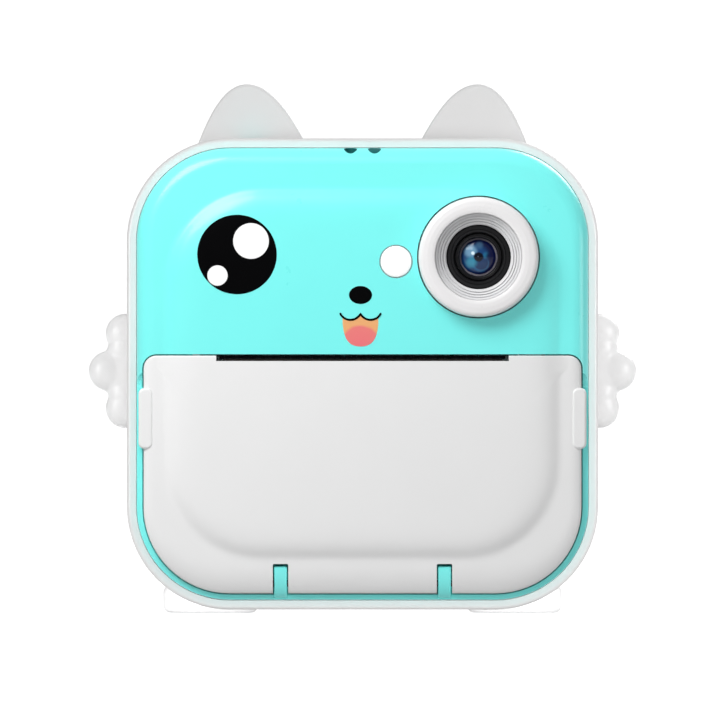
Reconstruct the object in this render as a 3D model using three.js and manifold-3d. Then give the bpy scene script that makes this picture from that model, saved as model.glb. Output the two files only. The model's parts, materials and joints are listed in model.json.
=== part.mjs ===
// Kids' instant-print camera: an aqua front cover and a white rear shell with ears, wings and feet,
// a drop-down paper door with the platen roller on it, and a thermal printer, camera and screen inside.
// Millimetres, +Z up, the lens faces -Y. The origin is the middle of the footprint, on the surface it stands on.
import * as THREE from "three";
import { mergeVertices } from "three/addons/utils/BufferGeometryUtils.js";
import Module from "manifold-3d";

const wasm = await Module();
wasm.setup();

// ---------------------------------------------------------------- driving dimensions
const GAP = 0.3; // between neighbouring pieces
const CENTRE_Z = 47.9; // height of the middle of the square body
const CORNER_STEPS = 5; // facets in each rounded corner of the housing

const shell = {
  half: 47.2,
  corner: 20.6,
  front: -14.5,
  back: 24.4,
  innerBack: 22.4,
  backFillet: 5,
  lipFillet: 0.8,
  bore: 45.5,
};
const cover = {
  half: 45.2,
  corner: 18.6,
  skirtEnd: -8,
  edge: -17,
  fillet: 3.4,
  band: -20.4,
  face: -22,
  skin: 1.8,
  rimFront: -17.6,
  rimTop: 48.5,
};
// Foot of the raised panel, and how far in and how far forward each step of its soft rise goes.
const panel = { halfX: 39.1, halfZ: 36.7, corner: 19 };
const panelRise = [
  [0.8, 0.55],
  [3, 1.25],
  [8, 1.6],
];

const door = {
  half: 43.8,
  low: 4,
  top: 51.6,
  lowCorner: 17.2,
  topCorner: 2.6,
  skin: 1.8,
  wall: 1.5,
  back: -16.7,
  recessGap: 0.25,
  seatFront: -15.4,
  seatBack: -14,
  hingeY: -18.6,
  hingeZ: 6,
  lipRadius: 2,
  notchX: 16.4,
  notchWidth: 3.1,
  notchTop: 9.9,
  slotHalf: 29.25,
  slotFloor: 50.5,
  gripLow: 32.9,
  gripTop: 45.1,
  gripReach: 44.8,
};
const bayWindow = { half: 34, low: 8, gearReach: 36.6, gearLow: 40.2 };

const lens = { x: 23.2, z: 71.3, bezel: 12, barrel: 6.3 };
const flash = { x: 6.7, z: 70.4, radius: 3.1 };

const roll = { y: -2.6, z: 23.6, radius: 14.8, half: 28.5, core: 6.5, bore: 5 };
const bay = { inner: 15.6, outer: 16.8, half: 31, cheek: 1.4, front: -13.7 };

const platen = { y: -13, z: 46, radius: 4.3, half: 28.8, shaft: 1.5 };
const MODULE = 0.5; // gear module
const teeth = { platen: 18, small: 12, large: 28, pinion: 12 };
const gearX = { platen: [33.2, 35.4], large: [36, 37.6] };
const reduction = {
  y: platen.y + (MODULE * (teeth.platen + teeth.small)) / 2,
  z: platen.z,
};
const motorAngle = THREE.MathUtils.degToRad(30.7);
const motorReach = (MODULE * (teeth.large + teeth.pinion)) / 2;
const motor = {
  y: reduction.y + motorReach * Math.cos(motorAngle),
  z: reduction.z + motorReach * Math.sin(motorAngle),
  radius: 7.5,
  from: 18.4,
  to: 31.2,
};
const head = { low: 41, top: 51.4, front: -8.4, half: 28 };

const screen = { halfX: 28.5, low: 40, top: 84, corner: 2.5 };
const keyFace = 26; // how far back the key tops stand
const keys = {
  key_ok: { x: 0, z: 22, radius: 4.4 },
  key_up: { x: 0, z: 32.4, radius: 3.1 },
  key_down: { x: 0, z: 11.6, radius: 3.1 },
  key_left: { x: -10.4, z: 22, radius: 3.1 },
  key_right: { x: 10.4, z: 22, radius: 3.1 },
  key_menu: { x: -26, z: 29, radius: 3.5 },
  key_print: { x: 26, z: 29, radius: 3.5 },
};
const topButtons = {
  shutter_button: { x: 0, y: 5, radius: 6.4 },
  power_button: { x: -22, y: -1.5, radius: 2.8 },
};
const screwPlaces = [
  [-36, 12],
  [36, 12],
  [-36, 84],
  [36, 84],
];
const speaker = { x: -23, z: 13.5, radius: 7 };
const mic = { x: 14, z: 36.3 };
const ports = { y: 10, usbZ: 22, cardZ: 33.1 };

const ear = { thickness: 7, y: 6, pegX: 21 };
const wing = { y: 4, lobe: 4, spread: 7.5, z: 48.5 };
const foot = { from: 20.9, to: 40, y: 4, halfY: 14.5, height: 5.6, corner: 6, pegX: 26 };
const FRONT = -26; // front of the lens bezel

// ---------------------------------------------------------------- materials
const finish = (color, roughness, metalness = 0) =>
  new THREE.MeshStandardMaterial({ color, roughness, metalness });
const material = {
  aqua: finish(0x7ff2ea, 0.35),
  white: finish(0xf2f2f2, 0.35),
  grey: finish(0xe4e4e4, 0.45),
  black: finish(0x141416, 0.4),
  glass: finish(0x1c3c78, 0.05),
  screen: finish(0x08080a, 0.08),
  steel: finish(0xb4b6b8, 0.3, 1),
  aluminium: finish(0xc6c8ca, 0.4, 1),
  rubber: finish(0x2c2c2e, 0.8),
  board: finish(0x1e6b3c, 0.5),
  paper: finish(0xf8f8f4, 0.9),
  card: finish(0xb08a5a, 0.9),
  ceramic: finish(0x4a2c20, 0.5),
  battery: finish(0x9aa4b0, 0.4),
  gear: finish(0xf0ead8, 0.5),
};

// ---------------------------------------------------------------- solids
const around = (centre, half) => [centre - half, centre + half];

// A closed three.js geometry as a manifold-3d solid.
function solid(geometry) {
  const bare = new THREE.BufferGeometry().setAttribute(
    "position",
    geometry.getAttribute("position"),
  );
  if (geometry.index) bare.setIndex(geometry.index);
  const merged = mergeVertices(bare, 1e-4);
  const corners = merged.index.array;
  const kept = [];
  for (let i = 0; i < corners.length; i += 3) {
    const [a, b, c] = corners.slice(i, i + 3);
    if (a !== b && b !== c && c !== a) kept.push(a, b, c);
  }
  const build = (triangles) =>
    new wasm.Manifold(
      new wasm.Mesh({
        numProp: 3,
        vertProperties: merged.attributes.position.array,
        triVerts: new Uint32Array(triangles),
      }),
    );
  const made = build(kept);
  return made.volume() > 0 ? made : build(kept.reverse());
}

// A manifold-3d solid as a three.js geometry.
function geometryOf(manifold) {
  const mesh = manifold.getMesh();
  const geometry = new THREE.BufferGeometry();
  geometry.setAttribute(
    "position",
    new THREE.BufferAttribute(new Float32Array(mesh.vertProperties), 3),
  );
  geometry.setIndex(new THREE.BufferAttribute(mesh.triVerts, 1));
  geometry.computeVertexNormals();
  return geometry;
}

const join = (...solids) => solids.reduce((a, b) => a.add(b));
const cut = (from, ...tools) => tools.reduce((a, b) => a.subtract(b), from);

function box([x0, x1], [y0, y1], [z0, z1]) {
  const made = new THREE.BoxGeometry(x1 - x0, y1 - y0, z1 - z0);
  return solid(
    made.translate((x0 + x1) / 2, (y0 + y1) / 2, (z0 + z1) / 2),
  );
}

// Cylinders along each axis, from one coordinate to the other.
function cylinderY(radius, [y0, y1], x, z, segments = 24) {
  const made = new THREE.CylinderGeometry(radius, radius, y1 - y0, segments);
  return solid(made.translate(x, (y0 + y1) / 2, z));
}
function cylinderX(radius, [x0, x1], y, z, segments = 24) {
  const made = new THREE.CylinderGeometry(radius, radius, x1 - x0, segments);
  return solid(made.rotateZ(Math.PI / 2).translate((x0 + x1) / 2, y, z));
}
function cylinderZ(radius, [z0, z1], x, y, segments = 24) {
  const made = new THREE.CylinderGeometry(radius, radius, z1 - z0, segments);
  return solid(made.rotateX(Math.PI / 2).translate(x, y, (z0 + z1) / 2));
}

// A turned piece on an axis along Y through x, z; the profile is a list of [radius, y].
function turned(profile, x, z, segments = 32) {
  const points = profile.map(([r, y]) => new THREE.Vector2(r, y));
  return solid(new THREE.LatheGeometry(points, segments).translate(x, 0, z));
}

// An outline drawn in X and Z, extruded along Y.
function prismY(shape, [y0, y1], curveSegments = CORNER_STEPS) {
  const made = new THREE.ExtrudeGeometry(shape, {
    depth: y1 - y0,
    bevelEnabled: false,
    curveSegments,
  });
  return solid(made.rotateX(Math.PI / 2).translate(0, y1, 0));
}

// An outline drawn in Y and Z, extruded along X.
function prismX(shape, [x0, x1], curveSegments = 8) {
  const made = new THREE.ExtrudeGeometry(shape, {
    depth: x1 - x0,
    bevelEnabled: false,
    curveSegments,
  });
  const turn = new THREE.Matrix4().makeBasis(
    new THREE.Vector3(0, 1, 0),
    new THREE.Vector3(0, 0, 1),
    new THREE.Vector3(1, 0, 0),
  );
  return solid(made.applyMatrix4(turn).translate(x0, 0, 0));
}

// A rectangle with its own radius for the two low and the two high corners.
function roundedRectangle([x0, x1], [z0, z1], low, high = low) {
  const s = new THREE.Shape();
  s.moveTo(x0 + low, z0);
  s.lineTo(x1 - low, z0);
  s.absarc(x1 - low, z0 + low, low, -Math.PI / 2, 0, false);
  s.lineTo(x1, z1 - high);
  s.absarc(x1 - high, z1 - high, high, 0, Math.PI / 2, false);
  s.lineTo(x0 + high, z1);
  s.absarc(x0 + high, z1 - high, high, Math.PI / 2, Math.PI, false);
  s.lineTo(x0, z0 + low);
  s.absarc(x0 + low, z0 + low, low, Math.PI, 1.5 * Math.PI, false);
  return s;
}

// The body's square outline, as a prism.
const bodyPrism = (half, corner, span) =>
  prismY(
    roundedRectangle(
      [-half, half],
      [CENTRE_Z - half, CENTRE_Z + half],
      corner,
    ),
    span,
  );

// One rounded-rectangle ring of a loft, anticlockwise as seen from the front.
function ringPoints({ halfX, halfZ, corner, y }) {
  const centres = [
    [halfX - corner, corner - halfZ, -Math.PI / 2],
    [halfX - corner, halfZ - corner, 0],
    [corner - halfX, halfZ - corner, Math.PI / 2],
    [corner - halfX, corner - halfZ, Math.PI],
  ];
  return centres.flatMap(([cx, cz, start]) =>
    Array.from({ length: CORNER_STEPS + 1 }, (_, i) => {
      const angle = start + ((Math.PI / 2) * i) / CORNER_STEPS;
      return [
        cx + corner * Math.cos(angle),
        y,
        CENTRE_Z + cz + corner * Math.sin(angle),
      ];
    }),
  );
}

// A closed solid through rings ordered from the front to the back.
function loft(rings) {
  const loops = rings.map(ringPoints);
  const n = loops[0].length;
  const last = loops.length - 1;
  const position = [...loops.flat(2)];
  const front = loops.length * n;
  const back = front + 1;
  position.push(0, rings[0].y, CENTRE_Z, 0, rings[last].y, CENTRE_Z);
  const index = [];
  for (let j = 0; j < n; j++) {
    const next = (j + 1) % n;
    index.push(front, j, next, back, last * n + next, last * n + j);
    for (let i = 0; i < last; i++) {
      const a = i * n + j;
      const b = i * n + next;
      index.push(a, a + n, b, b, a + n, b + n);
    }
  }
  const made = new THREE.BufferGeometry();
  made.setAttribute("position", new THREE.Float32BufferAttribute(position, 3));
  return solid(made.setIndex(index));
}

// The front form shared by cover and door, shrunk inwards by inset: panel, rise, band, rounded edge, skirt.
function frontForm(inset, backY) {
  const ring = (halfX, halfZ, corner, y) => ({
    halfX: halfX - inset,
    halfZ: halfZ - inset,
    corner: corner - inset,
    y: y + inset,
  });
  const rise = panelRise.map(([inwards, forwards]) =>
    ring(
      panel.halfX - inwards,
      panel.halfZ - inwards,
      panel.corner - inwards,
      cover.band - forwards,
    ),
  );
  const edge = [90, 60, 30, 0].map((degrees) => {
    const angle = THREE.MathUtils.degToRad(degrees);
    const inwards = cover.fillet * (1 - Math.cos(angle));
    const half = cover.half - inwards;
    const forwards = cover.fillet * Math.sin(angle);
    return ring(half, half, cover.corner - inwards, cover.edge - forwards);
  });
  const foot = ring(panel.halfX, panel.halfZ, panel.corner, cover.band);
  const skirt = {
    ...ring(cover.half, cover.half, cover.corner, 0),
    y: backY,
  };
  return loft([...rise.reverse(), foot, ...edge, skirt]);
}

// An involute spur gear in the YZ plane, along X; a tooth points along angle.
function gear(count, [x0, x1], y, z, angle, bore = 0) {
  const pitch = (MODULE * count) / 2;
  const pressure = THREE.MathUtils.degToRad(20);
  const base = pitch * Math.cos(pressure);
  const tip = pitch + 0.85 * MODULE;
  const root = pitch - 1.15 * MODULE;
  const involute = (r) => {
    const a = Math.acos(Math.min(1, base / r));
    return Math.tan(a) - a;
  };
  const halfTooth = (0.85 * Math.PI) / (2 * count);
  const flankAngle = (r) =>
    halfTooth + involute(pitch) - involute(Math.max(r, base));
  const side = [root, pitch, tip].map((r) => [r, flankAngle(r)]);
  const outline = [];
  for (let tooth = 0; tooth < count; tooth++) {
    const middle = angle + (2 * Math.PI * tooth) / count;
    const rising = side.map(([r, a]) => [r, middle - a]);
    const falling = side.map(([r, a]) => [r, middle + a]).reverse();
    outline.push(...rising, ...falling);
  }
  const shape = new THREE.Shape(
    outline.map(
      ([r, a]) => new THREE.Vector2(y + r * Math.cos(a), z + r * Math.sin(a)),
    ),
  );
  const blank = prismX(shape, [x0, x1]);
  return bore
    ? cut(blank, cylinderX(bore, [x0 - 1, x1 + 1], y, z, 16))
    : blank;
}

// ---------------------------------------------------------------- the scene graph
const camera = new THREE.Group();
const named = {};
function add(name, what, look) {
  const mesh = new THREE.Mesh(geometryOf(what), look);
  mesh.name = name;
  named[name] = mesh;
  camera.add(mesh);
  return mesh;
}
const mirrorX = (what) => what.mirror([1, 0, 0]);

// ---------------------------------------------------------------- front cover
const EVERYWHERE = [-60, 60];
const doorOutline = (grow) =>
  roundedRectangle(
    [-door.half - grow, door.half + grow],
    [door.low - grow, door.top + grow],
    door.lowCorner + grow,
    door.topCorner + grow,
  );
const recessTop = door.top + door.recessGap;
const shelfTop = recessTop + 1.4;

function hingeFinger(x) {
  const width = door.notchWidth / 2 - 0.25;
  const block = box(
    [x - width, x + width],
    [cover.band - 1, door.seatFront + 0.5],
    [CENTRE_Z - cover.half, door.notchTop - 0.6],
  );
  return cut(
    block.intersect(frontForm(0.2, cover.skirtEnd)),
    cylinderX(0.95, [x - 3, x + 3], door.hingeY, door.hingeZ, 12),
  );
}

function frontCover() {
  const upperHollow = frontForm(cover.skin, cover.skirtEnd + 1).intersect(
    box(EVERYWHERE, [-40, 0], [shelfTop, 100]),
  );
  const lowerHollow = bodyPrism(cover.half - cover.skin, cover.corner - cover.skin, [
    door.seatBack,
    cover.skirtEnd + 1,
  ]).intersect(box(EVERYWHERE, [-40, 0], [0, shelfTop]));
  const recess = prismY(doorOutline(door.recessGap), [-40, door.seatFront]);
  const rimCut = box(EVERYWHERE, [-40, cover.rimFront], [0, cover.rimTop]);
  const window = join(
    box(
      [-bayWindow.half, bayWindow.half],
      [-40, 0],
      [bayWindow.low, recessTop],
    ),
    box(
      [bayWindow.half - 1, bayWindow.gearReach],
      [-40, 0],
      [bayWindow.gearLow, recessTop],
    ),
  );
  const lanyardHoles = [-2.4, 2.4].map((x) =>
    cylinderZ(1.3, [80, 100], x, cover.edge - 1.2, 12),
  );
  const posts = screwPlaces.map(([x, z]) =>
    cylinderY(2.8, [z > CENTRE_Z ? -19 : -14.8, 13.7], x, z, 16),
  );
  const pilots = screwPlaces.map(([x, z]) =>
    cylinderY(1.45, [-2, 20], x, z, 12),
  );
  const body = cut(
    frontForm(0, cover.skirtEnd),
    upperHollow,
    lowerHollow,
    recess,
    rimCut,
    window,
    cylinderY(lens.bezel + GAP, [-40, 0], lens.x, lens.z, 24),
    cylinderY(flash.radius + 0.25, [-40, 0], flash.x, flash.z, 16),
    ...lanyardHoles,
  );
  return cut(
    join(body, ...posts, hingeFinger(-door.notchX), hingeFinger(door.notchX)),
    ...pilots,
  );
}
add("front_cover", frontCover(), material.aqua);

// ---------------------------------------------------------------- rear shell
function rearShell() {
  const ring = (inset, y) => ({
    halfX: shell.half - inset,
    halfZ: shell.half - inset,
    corner: shell.corner - inset,
    y,
  });
  const quarter = (radius, y, towards) =>
    [0, 30, 60, 90].map((degrees) => {
      const angle = THREE.MathUtils.degToRad(degrees);
      return ring(
        radius * (1 - Math.cos(angle)),
        y + towards * radius * Math.sin(angle),
      );
    });
  const outside = loft([
    ...quarter(shell.lipFillet, shell.front + shell.lipFillet, -1).reverse(),
    ...quarter(shell.backFillet, shell.back - shell.backFillet, 1),
  ]);
  const bore = shell.half - shell.bore;
  const inside = loft([
    ring(bore, shell.front - 1),
    ring(bore, shell.innerBack - 3.5),
    ring(bore + 1, shell.innerBack - 1),
    ring(bore + 3.5, shell.innerBack),
  ]);
  const bosses = screwPlaces.map(([x, z]) =>
    cylinderY(3.3, [14.2, shell.innerBack + 0.5], x, z, 16),
  );
  const screwHoles = screwPlaces.flatMap(([x, z]) => [
    cylinderY(1.5, [10, 30], x, z, 12),
    cylinderY(2.8, [21.2, 30], x, z, 16),
  ]);
  const screenHole = join(
    box(
      [-screen.halfX + 2.5, screen.halfX - 2.5],
      [15, 30],
      [screen.low + 2.5, screen.top - 2.5],
    ),
    prismY(
      roundedRectangle(
        [-screen.halfX - GAP, screen.halfX + GAP],
        [screen.low - GAP, screen.top + GAP],
        screen.corner,
      ),
      [23, 30],
      3,
    ),
  );
  const keyHoles = Object.values(keys).map(({ x, z, radius }) =>
    cylinderY(radius + GAP, [15, 30], x, z, 12),
  );
  const grille = [0, 1, 2, 3, 4, 5].map((i) => {
    const angle = (i * Math.PI) / 3;
    return [
      speaker.x + 3.4 * Math.cos(angle),
      speaker.z + 3.4 * Math.sin(angle),
    ];
  });
  const grilleHoles = [[speaker.x, speaker.z], [mic.x, mic.z], ...grille].map(
    ([x, z]) => cylinderY(0.75, [15, 30], x, z, 6),
  );
  const topHoles = Object.values(topButtons).flatMap(({ x, y, radius }) => [
    cylinderZ(radius + GAP, [85, 100], x, y, 14),
    cylinderZ(radius + 1.2, [94.4, 100], x, y, 14),
  ]);
  const portHoles = join(
    box([44, 50], around(ports.y, 2), around(ports.usbZ, 4.9)),
    box([44, 50], around(ports.y, 1.2), around(ports.cardZ, 6)),
  );
  const pegHoles = [-1, 1].flatMap((side) => [
    box(
      [side * ear.pegX - 3.3, side * ear.pegX + 3.3],
      [ear.y - 2, ear.y + 2],
      [90, 100],
    ),
    box(
      side > 0 ? [44, 50] : [-50, -44],
      [wing.y - 2, wing.y + 2],
      [wing.z - 3.3, wing.z + 3.3],
    ),
    cylinderZ(2.3, [-2, 5], side * foot.pegX, foot.y, 12),
  ]);
  return cut(
    join(cut(outside, inside), ...bosses),
    ...screwHoles,
    screenHole,
    ...keyHoles,
    ...grilleHoles,
    ...topHoles,
    portHoles,
    ...pegHoles,
  );
}
add("rear_shell", rearShell(), material.white);

for (const [i, [x, z]] of screwPlaces.entries()) {
  const screw = join(
    turned(
      [
        [0, 21.5],
        [2.4, 21.5],
        [2.4, 22.6],
        [1.6, 23.1],
        [0, 23.1],
      ],
      0,
      0,
      16,
    ),
    cylinderY(1.15, [4, 21.6], 0, 0, 10),
  );
  const crossSlot = join(
    box([-1.4, 1.4], [22.3, 24], [-0.25, 0.25]),
    box([-0.25, 0.25], [22.3, 24], [-1.4, 1.4]),
  );
  const mesh = add(`case_screw_${i + 1}`, cut(screw, crossSlot), material.steel);
  mesh.position.set(x, 0, z);
}

// ---------------------------------------------------------------- ears, wings and feet
const shellOutside = bodyPrism(shell.half + 0.15, shell.corner + 0.15, [-20, 30]);

function earRight() {
  const s = new THREE.Shape();
  s.moveTo(11.6, 94.6);
  s.bezierCurveTo(15.2, 101.3, 18.8, 106.1, 23.2, 106.1);
  s.bezierCurveTo(27.6, 106.1, 30.6, 100.7, 33.4, 93.2);
  s.lineTo(30, 90);
  s.lineTo(14, 90);
  const bevel = 1.6;
  const blade = new THREE.ExtrudeGeometry(s, {
    depth: ear.thickness - 2 * bevel,
    bevelThickness: bevel,
    bevelSize: 1,
    bevelOffset: -1,
    bevelSegments: 2,
    curveSegments: 7,
  });
  blade
    .rotateX(Math.PI / 2)
    .translate(0, ear.y + ear.thickness / 2 - bevel, 0);
  const peg = box(
    [ear.pegX - 3, ear.pegX + 3],
    [ear.y - 1.7, ear.y + 1.7],
    [91.5, 97],
  );
  return join(cut(solid(blade), shellOutside), peg);
}
add("ear_right", earRight(), material.grey);
add("ear_left", mirrorX(earRight()), material.grey);

function wingRight() {
  const lobes = [
    [51.1, 0, wing.lobe, 3.6],
    [47.6, wing.spread, wing.lobe, 3.4],
    [47.6, -wing.spread, wing.lobe, 3.4],
    [47.4, 0, 6, 4],
  ].map(([x, dz, radius, depth]) => {
    const ball = new THREE.SphereGeometry(radius, 10, 7);
    ball.rotateX(Math.PI / 2).scale(1, depth / radius, 1);
    return solid(ball.translate(x, wing.y, wing.z + dz));
  });
  const peg = box(
    [43.6, 49],
    [wing.y - 1.7, wing.y + 1.7],
    [wing.z - 3, wing.z + 3],
  );
  return join(cut(join(...lobes), shellOutside), peg);
}
add("wing_right", wingRight(), material.white);
add("wing_left", mirrorX(wingRight()), material.white);

function footRight() {
  const bevel = 1.2;
  const plan = roundedRectangle(
    [foot.from, foot.to],
    around(foot.y, foot.halfY),
    foot.corner,
  );
  const pad = new THREE.ExtrudeGeometry(plan, {
    depth: foot.height - 2 * bevel,
    bevelThickness: bevel,
    bevelSize: bevel,
    bevelOffset: -bevel,
    bevelSegments: 1,
    curveSegments: 3,
  });
  const peg = cylinderZ(2, [0.3, 4.2], foot.pegX, foot.y, 12);
  return join(cut(solid(pad.translate(0, 0, bevel)), shellOutside), peg);
}
add("foot_right", footRight(), material.white);
add("foot_left", mirrorX(footRight()), material.white);

// ---------------------------------------------------------------- paper door
function doorArm(x0, x1) {
  const s = new THREE.Shape();
  const reach = 3.1;
  s.moveTo(-20.9, platen.z - 6.4);
  s.lineTo(platen.y, platen.z - reach);
  s.absarc(platen.y, platen.z, reach, -Math.PI / 2, Math.PI / 2, false);
  s.lineTo(-20.9, platen.z + 3.9);
  return cut(
    prismX(s, [x0, x1]),
    cylinderX(platen.shaft + GAP, [x0 - 1, x1 + 1], platen.y, platen.z, 16),
  );
}

function paperDoor() {
  const outline = prismY(doorOutline(0), [-40, door.back]);
  const hollowOutline = prismY(doorOutline(-door.wall), [-40, 0]);
  const lipTrim = cut(
    box(EVERYWHERE, [-40, 0], [0, door.hingeZ]),
    cylinderX(door.lipRadius, EVERYWHERE, door.hingeY, door.hingeZ, 24),
    box(EVERYWHERE, [door.hingeY, 0], [door.low, door.hingeZ]),
  );
  const hollow = frontForm(door.skin, 0).intersect(hollowOutline);
  const notches = [-1, 1].map((side) =>
    box(
      [
        side * door.notchX - door.notchWidth / 2,
        side * door.notchX + door.notchWidth / 2,
      ],
      [-40, 0],
      [0, door.notchTop],
    ),
  );
  const slot = box(
    [-door.slotHalf, door.slotHalf],
    [-40, 0],
    [door.slotFloor, 60],
  );
  const grips = [-1, 1].map((side) => {
    const reach = [door.half - 1.6, door.gripReach].map((x) => side * x);
    return prismY(
      roundedRectangle(
        reach.sort((a, b) => a - b),
        [door.gripLow, door.gripTop],
        1,
      ),
      [-20.4, -18.2],
      3,
    );
  });
  const barrels = [-1, 1].flatMap((side) =>
    [
      [11, 14.5],
      [18.3, 21.8],
    ].map((span) =>
      cylinderX(
        1.65,
        span.map((x) => side * x).sort((a, b) => a - b),
        door.hingeY,
        door.hingeZ,
        14,
      ),
    ),
  );
  const pinHole = cylinderX(0.95, [-24, 24], door.hingeY, door.hingeZ, 12);
  const arms = [doorArm(-30.9, -29.5), doorArm(29.5, 30.9)];
  const skin = cut(
    outline.intersect(frontForm(0, 0)),
    hollow,
    lipTrim,
    slot,
  );
  return cut(join(skin, ...grips, ...barrels, ...arms), ...notches, pinHole);
}
add("paper_door", paperDoor(), material.white);

for (const [side, word] of [
  [-1, "left"],
  [1, "right"],
]) {
  const span = [11.4, 21.4].map((x) => side * x).sort((a, b) => a - b);
  const pin = cylinderX(0.65, span, door.hingeY, door.hingeZ, 10);
  add(`hinge_pin_${word}`, pin, material.steel);
}

function tearBar() {
  const count = 26;
  const half = 28.6;
  const pitch = (2 * half) / count;
  const s = new THREE.Shape();
  s.moveTo(-half, -18.6);
  for (let i = 0; i < count; i++) {
    s.lineTo(-half + i * pitch, -21);
    s.lineTo(-half + (i + 0.5) * pitch, -21.6);
  }
  s.lineTo(half, -21);
  s.lineTo(half, -18.6);
  const bar = new THREE.ExtrudeGeometry(s, { depth: 0.6, bevelEnabled: false });
  return solid(bar.translate(0, 0, 50.95));
}
add("tear_bar", tearBar(), material.black);

// ---------------------------------------------------------------- lens, camera module and flash
const bezelProfile = [
  [6.6, -17.1],
  [13.1, -17.1],
  [13.1, -18.3],
  [lens.bezel, -18.3],
  [lens.bezel, FRONT + 1.2],
  [lens.bezel - 0.35, FRONT + 0.45],
  [lens.bezel - 1.1, FRONT],
  [9.8, FRONT],
  [8.9, FRONT + 0.7],
  [8.9, -24.6],
  [8.1, -24.6],
  [8.1, -24],
  [7.4, -24],
  [7.4, -23.4],
  [6.6, -23.4],
  [6.6, -17.1],
];
add("lens_bezel", turned(bezelProfile, lens.x, lens.z, 24), material.white);

const barrelProfile = [
  [3, -14],
  [lens.barrel, -14],
  [lens.barrel, -23],
  [5.2, -23],
  [4.95, -22.5],
  [4.95, -19.4],
  [3, -19.4],
  [3, -14],
];
add("lens_barrel", turned(barrelProfile, lens.x, lens.z, 20), material.black);

const retainerProfile = [
  [3.8, -21.2],
  [4.65, -21.2],
  [4.65, -22.4],
  [4.2, -22.4],
  [3.8, -22],
  [3.8, -21.2],
];
add("lens_retaining_ring", turned(retainerProfile, lens.x, lens.z, 16), material.black);

const glassProfile = [
  [0, -19.7],
  [4.6, -19.7],
  [4.6, -20.9],
  [3.5, -20.9],
  [2.5, -21.5],
  [1.3, -21.85],
  [0, -21.95],
];
add("lens_front_glass", turned(glassProfile, lens.x, lens.z, 16), material.glass);

const innerLensProfile = [
  [0, -17.2],
  [2.7, -17.2],
  [2.7, -18.3],
  [1.5, -18.9],
  [0, -19.1],
];
add("lens_inner_glass", turned(innerLensProfile, lens.x, lens.z, 16), material.glass);

add(
  "camera_holder",
  cut(
    box(around(lens.x, 7), [-13.7, -9], around(lens.z, 7)),
    cylinderY(3, [-20, -10.5], lens.x, lens.z, 16),
  ),
  material.black,
);
add(
  "camera_board",
  box(around(lens.x, 9), [-8.7, -7.5], around(lens.z, 9)),
  material.board,
);

const flashProfile = [
  [0, -18.7],
  [4.2, -18.7],
  [4.2, -19.9],
  [flash.radius, -19.9],
  [flash.radius, -22],
  [flash.radius - 0.4, -22.2],
  [0, -22.3],
];
add("flash_window", turned(flashProfile, flash.x, flash.z, 16), material.white);
add(
  "flash_led_board",
  join(
    box(around(flash.x, 4.5), [-16.5, -15.5], around(flash.z, 4.5)),
    box(around(flash.x, 1.75), [-17.4, -16.4], around(flash.z, 1.75)),
  ),
  material.board,
);

// ---------------------------------------------------------------- screen, keys and boards
add(
  "screen_window",
  prismY(
    roundedRectangle(
      around(0, screen.halfX),
      [screen.low, screen.top],
      screen.corner,
    ),
    [23.3, shell.back],
    3,
  ),
  material.screen,
);
add(
  "lcd_panel",
  box(around(0, 29.5), [19, 21.4], [screen.low + 0.5, screen.top - 0.5]),
  material.black,
);

const FLANGE = [20.6, 22.1]; // the keys' flanges, behind the shell's rear wall
for (const [name, { x, z, radius }] of Object.entries(keys)) {
  const profile = [
    [0, 19.3],
    [1.3, 19.3],
    [1.3, FLANGE[0]],
    [radius + 0.9, FLANGE[0]],
    [radius + 0.9, FLANGE[1]],
    [radius, FLANGE[1]],
    [radius, keyFace - 0.5],
    [radius - 0.6, keyFace],
    [0, keyFace],
  ];
  const isRound = name === "key_ok" || name === "key_menu" || name === "key_print";
  const mesh = add(name, turned(profile, 0, 0, 12), isRound ? material.aqua : material.white);
  mesh.position.set(x, 0, z);
}

for (const [name, { x, y, radius }] of Object.entries(topButtons)) {
  const top = CENTRE_Z + shell.half;
  const profile = [
    [0, 89.2],
    [1.3, 89.2],
    [1.3, 91.6],
    [radius + 0.9, 91.6],
    [radius + 0.9, 93],
    [radius, 93],
    [radius, top - 0.6],
    [radius - 0.6, top - 0.05],
    [0, top - 0.05],
  ].map(([r, height]) => new THREE.Vector2(r, height));
  const cap = new THREE.LatheGeometry(profile, 14).rotateX(Math.PI / 2);
  const mesh = add(name, solid(cap), material.aqua);
  mesh.position.set(x, y, 0);
}
add(
  "button_board",
  box([-31, 12], [-10, 12], [86, 87.6]),
  material.board,
);

add(
  "main_board",
  join(
    box(around(0, 31), [16.6, 18.2], [22.5, 90]),
    box([-14, 31], [16.6, 18.2], [7.5, 23]),
  ),
  material.board,
);
add("battery", box([-32, 0], [-17.5, -11], [57.5, 84.5]), material.battery);
add(
  "speaker",
  cylinderY(speaker.radius, [18, 22], speaker.x, speaker.z, 20),
  material.black,
);
add("microphone", cylinderY(1.6, [20, 22], mic.x, mic.z, 10), material.black);

// ---------------------------------------------------------------- ports
add("port_board", box([33.4, 44.6], [7, 8.1], [16.6, 40]), material.board);
add(
  "usb_socket",
  join(
    cut(
      box([37.6, 45.1], around(ports.y, 1.55), around(ports.usbZ, 4.5)),
      box([38.5, 46], around(ports.y, 1.15), around(ports.usbZ, 4.1)),
    ),
    box([38, 44.4], around(ports.y, 0.35), around(ports.usbZ, 3.3)),
  ),
  material.steel,
);
add(
  "card_socket",
  cut(
    box([33.6, 45.1], [8.5, 10.9], around(ports.cardZ, 6)),
    box([34.5, 46], around(ports.y - 0.2, 0.5), around(ports.cardZ, 5.5)),
  ),
  material.steel,
);

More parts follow.
